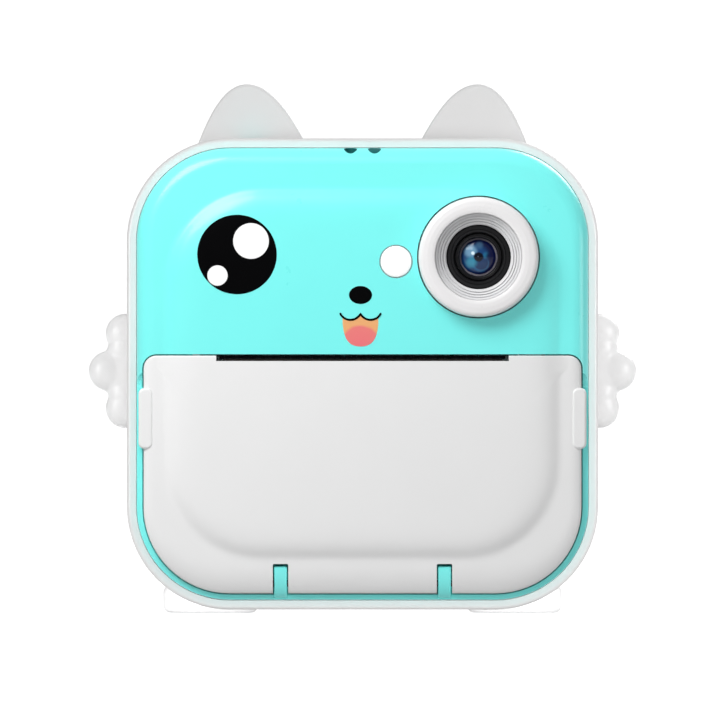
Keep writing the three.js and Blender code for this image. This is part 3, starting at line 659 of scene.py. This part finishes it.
def front_cover():
    lens, flash = centre("lens_bezel"), centre("flash_window")
    upper = common(front_form(1.8, -7), block((-60, 60), (-40, 0), (SHELF_TOP, 100)))
    lower = common(
        body_prism(COVER_HALF - 1.8, COVER_CORNER - 1.8, SEAT_BACK, -7),
        block((-60, 60), (-40, 0), (0, SHELF_TOP)),
    )
    ramp = [(-40, 0), (-17.6, 0), (-17.6, 45.6), (-18.2, 47.2), (-20.2, 48.6), (-24, 49.4), (-40, 49.4)]
    cover = cut(front_form(0, -8), upper)
    cut(cover, lower)
    cut(cover, slab(door_outline(0.25), -40, SEAT_FRONT, 0, xz))
    cut(cover, slab(soften(ramp[::-1], 2, closed=True), -60, 60, 0, yz))
    cut(cover, block((-34, 34), (-40, 0), (8, RECESS_TOP), 0))
    cut(cover, block((33, 36.6), (-40, 0), (40.2, RECESS_TOP), 0))
    holes = [
        rod(12.3, (-40, 0), "Y", (lens.x, lens.z), 96, 0),
        rod(3.35, (-40, 0), "Y", (flash.x, flash.z), 64, 0),
        rod(1.3, (80, 100), "Z", (-2.4, -18.2), 32, 0),
        rod(1.3, (80, 100), "Z", (2.4, -18.2), 32, 0),
    ]
    cut(cover, together(*holes))
    posts = [rod(2.8, (-19 if z > CENTRE_Z else -14.8, 13.7), "Y", (x, z), 32, 0.3) for x, z in SCREWS]
    fuse(cover, together(*posts))
    fuse(cover, together(hinge_finger(-NOTCH_X), hinge_finger(NOTCH_X)))
    return cut(cover, together(*[rod(1.45, (-2, 20), "Y", (x, z), 24, 0) for x, z in SCREWS]))


cover = front_cover()
cover_tree = tree_of(cover)
piece(cover, "front_cover_body", "camera", AQUA)
# The lanyard holes are lined with dark aqua tubes that stand for the shade inside them: painted shade, not
# parts of the camera.
for side, word in ((-1, "left"), (1, "right")):
    shade_tube = pipe(1.29, 1.08, (88, 100), "Z", (side * 2.4, -18.2), 48, 0)
    common(shade_tube, front_form(0.02, -8))
    piece(shade_tube, f"lanyard_sleeve_{word}", "camera", PAINTED_HOLE_SHADE, nodes=[])


# ---- printed face
def printed(name, outline, material, lift=0.05, middle=None):
    """A layer of ink on the cover: an outline, star-shaped round its middle, draped on the surface."""
    if middle is None:
        middle = [sum(p[j] for p in outline) / len(outline) for j in (0, 1)]
    cx, cz = middle
    levels = []
    for share in (i / 8 for i in range(1, 9)):
        levels.append([(cx + (x - cx) * share, cz + (z - cz) * share) for x, z in outline])
    front = [[(x, form_y(x, z, cover_tree) - lift, z) for x, z in level] for level in levels]
    back = [[(x, y + lift + 0.03, z) for x, y, z in level] for level in front[::-1]]
    return piece(loft(front + back), name, "camera", material, nodes=[])


def printed_line(name, points, width, material, lift):
    """A drawn line of ink, as a ribbon with round ends draped on the cover."""
    half = width / 2
    rows = []
    points = [Vector(p) for p in points]
    last = len(points) - 1
    for i, p in enumerate(points):
        along = (points[min(i + 1, last)] - points[max(i - 1, 0)]).normalized()
        if i == 0:
            rows.append((p - along * half, along, 0.15 * half))
            rows.append((p - along * half * 0.6, along, 0.8 * half))
        rows.append((p, along, half))
        if i == last:
            rows.append((p + along * half * 0.6, along, 0.8 * half))
            rows.append((p + along * half, along, 0.15 * half))
    rings = []
    for place, along, reach in rows:
        side = Vector((-along.y, along.x)) * reach
        corners = []
        for sign, depth in ((1, -lift), (-1, -lift), (-1, 0.03), (1, 0.03)):
            q = place + side * sign
            corners.append((q.x, form_y(q.x, q.y, cover_tree) + depth, q.y))
        rings.append(corners)
    return piece(loft(rings), name, "camera", material, nodes=[])


EYE = (-25.1, 71.8)
FACE_X = -0.4
printed("eye_print", ellipse(*EYE, 7.95, 7.95, 96), INK_BLACK)
printed("eye_glint_large", ellipse(-22.3, 74.5, 3.58, 3.58, 64), INK_WHITE, 0.09)
printed("eye_glint_small", ellipse(-29.0, 67.6, 2.04, 2.04, 48), INK_WHITE, 0.09)
printed("nose_print", ellipse(FACE_X, 63.7, 2.3, 1.8, 64), INK_BLACK)

MOUTH_Z, MOUTH_LOW, MOUTH_HALF = 59.95, 58.73, 2.01


def smile(side, reach=None):
    """One half of the mouth, an arc from the middle outwards, or part of it up to reach."""
    sag = MOUTH_Z - MOUTH_LOW
    radius = (MOUTH_HALF**2 + sag**2) / (2 * sag)
    centre_z = MOUTH_LOW + radius
    spread = math.asin(MOUTH_HALF / radius)
    arc = [spread * (k / 12 - 1) for k in range(25)]
    points = [(MOUTH_HALF + radius * math.sin(a), centre_z - radius * math.cos(a)) for a in arc]
    if reach:
        points = [p for p in points if p[0] < reach]
    return [(FACE_X + side * x, z) for x, z in points]


tongue = bezier((-3.6, 58.9), (-3.5, 55.2), (-2.6, 53.4), (0, 53.4), 16)
tongue += bezier((0, 53.4), (2.6, 53.4), (3.5, 55.2), (3.6, 58.9), 16)
tongue = [(FACE_X + x, z) for x, z in tongue]
tongue += smile(1, 3.55)[::-1] + smile(-1, 3.55)[1:]
PINK, ORANGE = (0.86, 0.20, 0.19), (0.87, 0.42, 0.16)
shades = [(0.0, (0.86, 0.17, 0.19)), (0.55, PINK), (0.63, ORANGE), (1.0, (0.86, 0.44, 0.17))]
TONGUE = radial("ink_tongue", shades, 0.35, (FACE_X, 0, 53.6), 7.0)
printed("tongue_print", tongue, TONGUE, 0.05, (FACE_X, 56.6))
mouth = smile(-1)[::-1] + smile(1)[1:]
printed_line("mouth_print", mouth, 0.42, INK_BLACK, 0.1)


# ---- rear shell
def shell_form(grow=0.0):
    rings = []

    def add(d, y):
        rings.append(ring(SHELL_HALF + grow - d, SHELL_HALF + grow - d, SHELL_CORNER + grow - d, y))

    for i in range(7):
        a = math.pi / 2 * (1 - i / 6)
        add(0.8 * (1 - math.cos(a)), SHELL_FRONT + 0.8 - 0.8 * math.sin(a))
    for a in quarter(14):
        add(5 * (1 - math.cos(a)), SHELL_BACK - 5 + 5 * math.sin(a))
    return loft(rings)


def rear_shell():
    def inner(d, y):
        half = COVER_HALF + 0.15 - d
        return ring(half, half, COVER_CORNER + 0.15 - d, y)

    hollow = [inner(0, SHELL_FRONT - 1), inner(0, SHELL_INNER_BACK - 3.5)]
    for a in quarter(8)[1:]:
        hollow.append(inner(3.5 * (1 - math.cos(a)), SHELL_INNER_BACK - 3.5 + 3.5 * math.sin(a)))
    shell = cut(shell_form(), loft(hollow))
    fuse(shell, together(*[rod(3.3, (14.2, 22.9), "Y", (x, z), 32, 0.2) for x, z in SCREWS]))

    def flared(radius, at, axis, top, flare=0.35, depth=12.0):
        profile = [(0, top - depth), (radius, top - depth), (radius, top - flare)]
        for a in quarter(5)[1:]:
            profile.append((radius + flare * (1 - math.cos(a)), top - flare + flare * math.sin(a)))
        profile += [(radius + flare, top + 2), (0, top + 2)]
        return turned(profile, axis, at, 64)

    back = []
    for name in KEYS:
        middle, radius = round_node(name)
        back.append(flared(radius + 0.3, (middle.x, middle.z), "Y", SHELL_BACK))
    speaker, microphone = centre("speaker"), centre("microphone")
    grille = [(speaker.x, speaker.z), (microphone.x, microphone.z)]
    for i in range(6):
        a = math.radians(60 * i)
        grille.append((speaker.x + 3.4 * math.cos(a), speaker.z + 3.4 * math.sin(a)))
    back += [flared(0.7, at, "Y", SHELL_BACK, 0.2, 5) for at in grille]
    for at in SCREWS:
        back.append(rod(1.5, (10, 22), "Y", at, 32, 0))
    cut(shell, together(*back))
    cut(shell, together(*[flared(2.8, at, "Y", SHELL_BACK, 0.3, 3.2) for at in SCREWS]))
    cut(shell, slab(rounded(28.8, 22.3, 2.8, cz=SCREEN_Z, steps=8), 23.0, 30, 0, xz))
    cut(shell, slab(rounded(26, 19.5, 0.6, cz=SCREEN_Z, steps=4), 15, 25, 0, xz))

    top = CENTRE_Z + SHELL_HALF
    for name, dish in (("shutter_button", 1.5), ("power_button", 1.0)):
        middle, reach = round_node(name)
        profile = [(0, 80), (reach + 0.3, 80), (reach + 0.3, top - 0.8)]
        for a in quarter(8)[1:]:
            profile.append((reach + 0.3 + dish * math.sin(a), top - 0.8 + 0.8 * (1 - math.cos(a))))
        profile += [(reach + 0.3 + dish, top + 3), (0, top + 3)]
        cut(shell, turned(profile, "Z", (middle.x, middle.y), 64))
    usb, card = centre("usb_socket"), centre("card_socket")
    port = rounded(2.0, 4.9, 1.6, cx=usb.y - 0.05, cz=usb.z, steps=8)
    slot = rounded(1.1, 6.1, 0.5, cx=card.y + 0.3, cz=card.z, steps=6)
    cut(shell, together(slab(port, 43, 52, 0, yz), slab(slot, 43, 52, 0, yz)))
    return shell


KEYS = ["key_ok", "key_up", "key_down", "key_left", "key_right", "key_menu", "key_print"]
piece(rear_shell(), "rear_shell_body", "camera", SHADED_RIM_WHITE)

for number, (x, z) in enumerate(SCREWS, 1):
    profile = [(0, 21.5), (2.4, 21.5), (2.4, 22.5), (2.1, 22.85), (1.2, 23.08), (0, 23.1)]
    screw = turned(soften(profile, 0.12, steps=2), "Y", (x, z), 40)
    arms = [block((x - 1.45, x + 1.45), (22.2, 24), (z - 0.24, z + 0.24))]
    arms.append(block((x - 0.24, x + 0.24), (22.2, 24), (z - 1.45, z + 1.45)))
    for arm in arms:
        cut(screw, arm)
    fuse(screw, rod(1.15, (4, 21.7), "Y", (x, z), 24, 0.3))
    piece(screw, f"case_screw_{number}_body", "camera", ZINC)


# ---- ears, wings and feet
def pair(word, right, material):
    left = mirrored(right, word + "_left")
    piece(right, word + "_right_body", "camera", material)
    piece(left, word + "_left_body", "camera", material)


def ear():
    outline = bezier((11.6, 94.6), (15.2, 101.3), (18.8, 106.1), (23.2, 106.1), 28)
    outline += bezier((23.2, 106.1), (27.6, 106.1), (30.6, 100.7), (33.4, 93.2), 28)
    outline += [(33.4, 93.2), (31.5, 90.0), (13.0, 90.0)]
    blade = slab(outline[::-1], 2.5, 9.5, 0.7, xz)
    return cut(blade, shell_form(0.03))


pair("ear", ear(), EAR_SHADED_WHITE)


# Each lobe's middle and radius.
LOBES = [(51.0, 48.5, 4.0), (47.6, 56, 4.0), (47.6, 41, 4.0)]
LOBES += [(47.2, 48.5, 6), (47.8, 53, 3.4), (47.8, 44, 3.4)]


def wing():
    """Flattened balls, melted together and cut to the shell."""
    work = bmesh.new()
    for x, z, radius in LOBES:
        ball = bmesh.ops.create_icosphere(work, subdivisions=5, radius=1.0)["verts"]
        for v in ball:
            flat = math.copysign(abs(v.co.y) ** 0.6, v.co.y)
            v.co = Vector((x + radius * v.co.x, 4 + 3.5 * flat, z + radius * v.co.z))
    made = from_bmesh("wing", work)
    remesh = made.modifiers.new("remesh", "REMESH")
    remesh.mode = "VOXEL"
    remesh.voxel_size = 0.28
    smooth = made.modifiers.new("smooth", "SMOOTH")
    smooth.factor = 0.5
    smooth.iterations = 8
    refresh(made)
    return cut(made, shell_form(0.02))


pair("wing", wing(), WHITE)


def foot():
    plan = rounded(9.55, 14.5, 6, cx=30.45, cz=4, steps=10)
    levels = []
    for a in quarter(6):
        levels.append((1.5 * (1 - math.sin(a)), 1.5 * (1 - math.cos(a))))
    for i in range(5):
        a = math.pi / 2 * (1 - i / 6)
        levels.append((1.5 * (1 - math.sin(a)), 5.6 - 1.5 * (1 - math.cos(a))))
    made = loft([[(x, y, z) for x, y in inset(plan, d)] for d, z in levels])
    return cut(made, shell_form(0.02))


pair("foot", foot(), FOOT)


# ---- paper door
def door_front(x, z):
    y = form_y(x, z)
    if z < HINGE_Z:
        y = max(y, HINGE_Y - math.sqrt(max(0.0, 4 - (HINGE_Z - z) ** 2)))
    return y


def paper_door():
    fine = {"steps": 16, "straight": 44}
    edge = 0.35
    outer = []
    for d in (0.0, 0.02, 0.07, 0.14, 0.23, 0.35, 0.7, 1.2, 1.8, 2.4):
        fall = edge - math.sqrt(max(0.0, edge**2 - max(0.0, edge - d) ** 2))
        outer.append([(x, door_front(x, z) + fall, z) for x, z in door_outline(-d, **fine)])
    start = door_outline(-2.4, **fine)
    end = rounded(22, 1.2, 1.0, cz=(DOOR_TOP + DOOR_LOW) / 2, **fine)
    count = 44
    inside = []
    for i in range(1, count + 1):
        share = i / count
        level = [(a[0] + (b[0] - a[0]) * share, a[1] + (b[1] - a[1]) * share) for a, b in zip(start, end)]
        inside.append(level)
    front = outer + [[(x, door_front(x, z), z) for x, z in level] for level in inside]
    wall = [(x, DOOR_BACK, z) for x, z in door_outline(0, **fine)]
    inner_outline = door_outline(-DOOR_WALL, **fine)
    lip = [(x, DOOR_BACK, z) for x, z in inner_outline]
    skin = [[(x, min(form_y(x, z) + DOOR_SKIN, DOOR_BACK - 0.05), z) for x, z in inner_outline]]
    skin += [[(x, form_y(x, z) + DOOR_SKIN, z) for x, z in level] for level in inside[3::4]]
    door = loft(front[::-1] + [wall, lip] + skin)

    grips = []
    for side in (-1, 1):
        outline = rounded(1.45, 6.1, 1.2, cx=side * 43.35, cz=39, steps=8)
        grips.append(slab(outline, -20.6, -18.2, 0.55, xz, 5))
    fuse(door, together(*grips))
    knuckles = []
    for low, high in ((11, 14.5), (18.3, 21.8)):
        knuckles.append(rod(1.15, (low, high), "X", (HINGE_Y, HINGE_Z), 40, 0.15))
        knuckles.append(rod(1.15, (-high, -low), "X", (HINGE_Y, HINGE_Z), 40, 0.15))
    fuse(door, together(*knuckles))
    arm = [(-20.9, PLATEN_Z - 6.4), (PLATEN_Y, PLATEN_Z - 3.1)]
    for i in range(1, 12):
        a = math.pi * (i / 12 - 0.5)
        arm.append((PLATEN_Y + 3.1 * math.cos(a), PLATEN_Z + 3.1 * math.sin(a)))
    arm += [(PLATEN_Y, PLATEN_Z + 3.1), (-20.9, PLATEN_Z + 3.9)]
    fuse(door, together(slab(arm, -30.9, -29.5, 0, yz), slab(arm, 29.5, 30.9, 0, yz)))
    holes = [rod(1.8, (x - 2, x + 2), "X", (PLATEN_Y, PLATEN_Z), 32, 0) for x in (-30.2, 30.2)]
    holes.append(rod(0.72, (-24, 24), "X", (HINGE_Y, HINGE_Z), 24, 0))
    holes.append(block((-29.25, 29.25), (-40, 0), (50.5, 60)))
    for tool in holes:
        cut(door, tool)
    notch = rounded(1.55, 7, 0.3, cz=2.9, steps=4)
    for side in (-1, 1):
        outline = [(x + side * NOTCH_X, z) for x, z in notch]
        cut(door, slab(outline, -40, 0, 0, xz))
    return door


piece(paper_door(), "paper_door_body", "door", WHITE_DOOR)

for side, word in ((-1, "left"), (1, "right")):
    span = sorted((side * 11.4, side * 21.4))
    pin = rod(0.65, span, "X", (HINGE_Y, HINGE_Z), 24, 0.2)
    piece(pin, f"hinge_pin_{word}_body", "camera", PIN_STEEL)

# ---- lens and flash
lens_at = centre("lens_bezel")
LENS = (lens_at.x, lens_at.z)


def round_piece(name, profile, material, radius=0.12, body="camera", at=LENS, segments=128):
    softened = soften(profile, radius, closed=True, steps=4)
    made = turned(softened + softened[:1], "Y", at, segments)
    return piece(made, name, body, material)


bezel = [(8.0, -17.1), (13.1, -17.1), (13.1, -18.3), (12, -18.3), (12, -24.8)]
for a in quarter(8)[1:]:
    bezel.append((12 - 1.2 * (1 - math.cos(a)), -24.8 - 1.1 * math.sin(a)))
bezel += [(10.2, -26), (9.4, -25.97), (8.9, -25.85), (8.68, -25.6), (8.62, -24.6), (8.0, -24.2)]
round_piece("lens_bezel_body", bezel, BEZEL, 0.06, segments=160)
funnel = [(6.45, -17.5), (7.9, -17.5), (7.95, -24.2), (8.58, -24.6)]
for k in range(4):
    radius, y = 8.57 - 0.53 * k, -25.0 + 0.45 * k
    funnel += [(radius, y), (radius - 0.33, y + 0.26), (radius - 0.35, y + 0.8), (radius - 0.51, y + 0.8)]
funnel += [(6.45, -22.5)]
funnel = turned(funnel + funnel[:1], "Y", LENS, 160)
piece(funnel, "lens_bezel_steps", "camera", SHADED_FUNNEL, nodes=[])
barrel = [(3, -14), (6.3, -14), (6.3, -22.75), (6.15, -22.95), (5.6, -23), (5.5, -22.85), (5.4, -23)]
barrel += [(5.05, -22.95), (4.95, -22.6), (4.8, -22.3), (4.8, -19.4), (3, -19.4)]
round_piece("lens_barrel_body", barrel, BLACK, 0.05)
retainer = [(3.8, -21.2), (4.65, -21.2), (4.65, -22.3), (4.5, -22.45), (4.35, -22.3)]
retainer += [(4.2, -22.42), (4.0, -22.3), (3.85, -21.9)]
round_piece("lens_retaining_ring_body", retainer, BLACK, 0.04)

GLASS = coated_glass("coated_glass", (LENS[0], 0, LENS[1]), 3.75)
dome = [(0, -19.7), (4.6, -19.7), (4.6, -20.9), (3.85, -20.95)]
DOME_REACH, DOME_HEIGHT = 3.75, 0.98
DOME_RADIUS = (DOME_REACH**2 + DOME_HEIGHT**2) / (2 * DOME_HEIGHT)
for i in range(25):
    r = DOME_REACH * (1 - i / 24)
    y = -20.95 - DOME_HEIGHT + DOME_RADIUS - math.sqrt(DOME_RADIUS**2 - r**2)
    dome.append((r, y))
glass = turned(dome, "Y", LENS, 96)
piece(glass, "lens_front_glass_body", "camera", GLASS)

flash_at = centre("flash_window")
window = [(0, -18.7), (4.2, -18.7), (4.2, -19.9), (3.1, -19.9), (3.1, -21.95)]
for a in quarter(8)[1:]:
    window.append((3.1 * math.cos(a), -21.95 - 0.3 * math.sin(a)))
window = window[:-1] + [(0, -22.27)]
flash = turned(window, "Y", (flash_at.x, flash_at.z), 96)
piece(flash, "flash_window_body", "camera", GLOWING_DIFFUSER)

# ---- screen, keys and buttons
glass_plate = slab(rounded(28.5, 22, 2.5, cz=SCREEN_Z, steps=10), 23.3, 24.4, 0.25, xz, 4)
piece(glass_plate, "screen_window_body", "camera", SCREEN)
live = slab(rounded(24.5, 18, 0.4, cz=SCREEN_Z, steps=4), 24.38, 24.43, 0, xz)
piece(live, "screen_live_area", "camera", SCREEN_LIVE, nodes=[])


def key_cap(name, material):
    middle, radius = round_node(name)
    profile = [(0, 19.3), (1.3, 19.3), (1.3, 20.6), (radius + FLANGE, 20.6), (radius + FLANGE, 22.1)]
    profile += [(radius, 22.1), (radius, 25.3), (radius - 0.15, 25.6), (radius - 0.5, 25.77)]
    profile += [(radius * 0.6, 25.84), (0, 25.86)]
    cap = turned(soften(profile, 0.1, steps=3), "Y", (middle.x, middle.z), 64)
    piece(cap, name + "_body", name, material)
    return middle.x, middle.z


def icon(name, body, outline, material):
    made = slab(outline, 25.7, 26, 0.04, xz, 2)
    return piece(made, name, body, material, nodes=[])


for name, turn in (("key_up", 90), ("key_down", 270), ("key_left", 180), ("key_right", 0)):
    x, z = key_cap(name, WHITE)
    arrow = []
    for k in range(3):
        a = math.radians(turn + 120 * k)
        arrow.append((x + 1.15 * math.cos(a), z + 1.15 * math.sin(a)))
    icon(name + "_arrow", name, soften(arrow, 0.25, closed=True), AQUA)
x, z = key_cap("key_ok", AQUA)
icon("key_ok_ring", "key_ok", ellipse(x, z, 1.5, 1.5), INK_WHITE)
x, z = key_cap("key_menu", AQUA)
for row in (-1, 0, 1):
    bar = rounded(1.4, 0.2, 0.18, cx=x, cz=z + row * 0.85, steps=4)
    icon(f"key_menu_bar_{row + 2}", "key_menu", bar, INK_WHITE)
x, z = key_cap("key_print", AQUA)
sheet_icon = rounded(1.0, 1.35, 0.2, cx=x, cz=z, steps=4)
icon("key_print_sheet", "key_print", sheet_icon, INK_WHITE)

for name in ("shutter_button", "power_button"):
    (middle, radius), top = round_node(name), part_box(name)[1].z / MM
    profile = [(0, 89.2), (1.3, 89.2), (1.3, 91.6), (radius + FLANGE, 91.6), (radius + FLANGE, 93)]
    profile += [(radius, 93), (radius, top - 0.4), (radius - 0.15, top - 0.12), (radius - 0.5, top)]
    profile += [(radius * 0.7, top - 0.1), (radius * 0.35, top - 0.32), (0, top - 0.4)]
    cap = turned(soften(profile, 0.12, steps=3), "Z", (middle.x, middle.y), 72)
    piece(cap, name + "_body", name, AQUA)

# ---- paper bay and roll
bay = pipe(16.8, 15.6, (-31, 31), "X", (ROLL_Y, ROLL_Z), 128, 0.2)
cheeks = [rod(16.0, sorted((s * 29.6, s * 31)), "X", (ROLL_Y, ROLL_Z), 128, 0.1) for s in (-1, 1)]
fuse(bay, together(*cheeks))
cut(bay, block((-60, 60), (-60, -13.7), (0, 60)))
cut(bay, block((-29.6, 29.6), (-15, ROLL_Y - 1), (ROLL_Z + 8, 50)))
piece(bay, "paper_bay_body", "camera", AQUA)
roll = pipe(ROLL_RADIUS, 6.6, (-28.5, 28.5), "X", (ROLL_Y, ROLL_Z), 160, 0.12)
piece(roll, "paper_roll_body", "roll", PAPER)
core = pipe(6.3, 5.0, (-28.5, 28.5), "X", (ROLL_Y, ROLL_Z), 96, 0.15)
piece(core, "paper_core_body", "roll", CARD)

# ---- printer
roller = pipe(4.3, 1.8, (-28.8, 28.8), "X", (PLATEN_Y, PLATEN_Z), 96, 0.35)
piece(roller, "platen_roller_body", "platen", RUBBER)
shaft = rod(1.5, (-33.4, 35.4), "X", (PLATEN_Y, PLATEN_Z), 48, 0.3)
piece(shaft, "platen_shaft_body", "platen", STEEL)


def gear(count, span, at, angle, bore, module=0.5):
    """A spur gear along X with involute flanks; a tooth points along angle."""
    pitch = module * count / 2
    base = pitch * math.cos(math.radians(20))
    tip, root = pitch + 0.84 * module, pitch - 1.14 * module

    def flank(radius):
        def involute(r):
            a = math.acos(min(1, base / r))
            return math.tan(a) - a

        half_tooth = 0.84 * math.pi / (2 * count)
        return half_tooth + involute(pitch) - involute(max(radius, base))

    radii = [root, 0.5 * (root + base), base, 0.5 * (base + pitch), pitch, 0.5 * (pitch + tip), tip]
    outline = []
    for tooth in range(count):
        middle = angle + 2 * math.pi * tooth / count
        side = [(r, flank(r)) for r in sorted(radii)]
        polar = [(r, middle - a) for r, a in side] + [(r, middle + a) for r, a in side[::-1]]
        outline += [(at[0] + r * math.cos(a), at[1] + r * math.sin(a)) for r, a in polar]
    blank = slab(outline, *span, 0, yz)
    return cut(blank, rod(bore, (span[0] - 1, span[1] + 1), "X", at, 32, 0))


REDUCTION = (PLATEN_Y + 7.5, PLATEN_Z)
PINION_ANGLE = math.radians(30.7)
PINION = (REDUCTION[0] + 10 * math.cos(PINION_ANGLE), REDUCTION[1] + 10 * math.sin(PINION_ANGLE))
wheel = gear(18, (33.2, 35.4), (PLATEN_Y, PLATEN_Z), 0, 1.8)
piece(wheel, "platen_gear_body", "platen", ACETAL, sharp=25)
small = gear(12, (33.2, 36.05), REDUCTION, math.pi / 12, 1.3)
large = gear(28, (36, 37.6), REDUCTION, PINION_ANGLE, 1.3)
piece(fuse(large, small), "reduction_gear_body", "reduction", ACETAL, sharp=25)
pinion = gear(12, (36, 37.6), PINION, PINION_ANGLE + math.pi * 13 / 12, 1.1)
piece(pinion, "motor_pinion_body", "pinion", ACETAL, sharp=25)
piece(rod(0.8, (31.5, 37.6), "X", PINION, 32, 0.2), "motor_shaft_body", "pinion", STEEL)
motor = rod(7.5, (18.4, 31.2), "X", PINION, 96, 0.5)
piece(motor, "stepper_motor_body", "camera", ZINC)


def coil(x, word):
    """A three-turn compression spring between the head and the wall behind it."""
    turns, per_turn, wire, ends = 3, 28, 0.17, 12
    rings = []
    for i in range(turns * per_turn + 1):
        a = 2 * math.pi * i / per_turn
        middle = Vector((x + 1.6 * math.cos(a), -2.5 - 1.6 * i / (turns * per_turn), 48 + 1.6 * math.sin(a)))
        outwards = Vector((math.cos(a), 0, math.sin(a)))
        round_wire = ellipse(0, 0, wire, wire, ends)
        rings.append([middle + outwards * u + Vector((0, v, 0)) for u, v in round_wire])
    piece(loft(rings), f"head_spring_{word}_body", "camera", SPRING)


coil(-12, "left")
coil(12, "right")

# ---- CAD nodes that keep their shape
KEPT = {
    BLACK_EDGE: "tear_bar",
    BLACK: "camera_holder lcd_panel speaker microphone",
    GLASS: "lens_inner_glass",
    STEEL: "usb_socket card_socket",
    ZINC: "printer_frame",
    ALUMINIUM: "head_heatsink",
    CERAMIC: "print_head",
    BOARD: "main_board button_board port_board camera_board flash_led_board",
    FOIL: "battery",
}
for material, names in KEPT.items():
    for name in names.split():
        for material_slot in NODES[name].material_slots:
            material_slot.material = material

# ---- floor, world, lights and camera
bpy.ops.mesh.primitive_plane_add(size=60, location=(0, 0, 0))
floor = bpy.context.object
floor.name = "studio_floor"
floor.data.materials.append(
    surface("pale_floor", (0.85, 0.85, 0.85), 0.9, mottle=0.004, vary=0.02, grain=0.0, specular=0.1, glow=0.7)
)
floor.visible_diffuse = False

# The light comes evenly from all round, more from above; the backdrop itself is white.
LEVELS = [(0.0, 0.42), (0.46, 0.42), (0.54, 0.42), (1.0, 0.62)]
world = bpy.data.worlds.new("studio")
world.use_nodes = True
bpy.context.scene.world = world
sky, (link, node) = world.node_tree.nodes, wiring(world.node_tree)
direction, split = node("TexCoord"), node("SeparateXYZ")
height, levels = node("MapRange", From_Min=-1.0), node("ValToRGB")
set_stops(levels, [(place, (grey,) * 3) for place, grey in LEVELS])
backdrop = node("Background", Color=(1, 1, 1, 1), Strength=1.1)
seen, choose = node("LightPath"), node("MixShader")
link(direction.outputs["Generated"], split.inputs["Vector"])
link(split.outputs["Z"], height.inputs["Value"])
link(height.outputs["Result"], levels.inputs["Fac"])
link(levels.outputs["Color"], sky["Background"].inputs["Color"])
link(seen.outputs["Is Camera Ray"], choose.inputs[0])
link(sky["Background"].outputs[0], choose.inputs[1])
link(backdrop.outputs[0], choose.inputs[2])
link(choose.outputs[0], sky["World Output"].inputs["Surface"])

AIM = Vector((0, -0.02, 0.04))


def softbox(name, place, size, power):
    data = bpy.data.lights.new(name, "AREA")
    data.shape = "RECTANGLE"
    data.size, data.size_y = size
    data.energy = power
    made = new_object(name, data)
    made.location = place
    made.rotation_euler = (AIM - Vector(place)).to_track_quat("-Z", "Y").to_euler()
    made.visible_camera = False
    return made


key = softbox("key", (-0.14, -0.245, 0.27), (0.18, 0.18), 0.93)
key.data.specular_factor = 0.08
softbox("rear_key", (0.4, 0.6, 0.6), (0.5, 0.5), 4.0)
softbox("glint", (-0.285, -0.95, 0.276), (0.12, 0.12), 0.1)
edge_fill = softbox("edge_fill", (0.5, -0.15, 0.03), (0.2, 0.2), 0.35)
# White parts are lit evenly from the front, the rest by the key, which falls off to the lower right.
SIDE, WHITES = (0.25, 0.25), ("rear", "wing", "foot", "ear")
fills = [
    (softbox("left_fill", (-0.42, -0.45, 0.14), SIDE, 1.45), WHITES),
    (softbox("right_fill", (0.42, -0.45, 0.14), SIDE, 1.45), WHITES),
    (softbox("foot_fill", (0, -0.60, 0.03), (0.3, 0.05), 3.0), ("foot",)),
    (softbox("low_fill", (0.05, -0.50, -0.22), (0.3, 0.1), 0.35), ("rear", "foot")),
    (edge_fill, ("front",)),
]
for fill, lit in fills:
    group = bpy.data.collections.new("lit_by_" + fill.name)
    for made in bpy.context.scene.objects:
        if made.name.split("_")[0] in lit:
            group.objects.link(made)
    fill.light_linking.receiver_collection = fill.light_linking.blocker_collection = group
spared = bpy.data.collections.new("spared_by_key")
for made in fills[0][0].light_linking.receiver_collection.objects:
    spared.objects.link(made)
for item in spared.collection_objects:
    item.light_linking.link_state = "EXCLUDE"
key.light_linking.receiver_collection = spared

# The photograph is straight on with hardly any perspective.
FOCAL, SENSOR = 1300, 36
WIDTH, DOOR_FACE = 0.1424, -0.021  # what the picture spans, and where
cam = new_object("camera", bpy.data.cameras.new("camera"))
cam.data.lens = FOCAL
cam.data.sensor_width = SENSOR
cam.data.clip_start, cam.data.clip_end = 0.1, 100
cam.location = (-0.0013, DOOR_FACE - WIDTH * FOCAL / SENSOR, 0.0515)
cam.rotation_euler = (math.pi / 2, 0, 0)
bpy.context.scene.camera = cam
bpy.context.scene.view_settings.view_transform = "Standard"
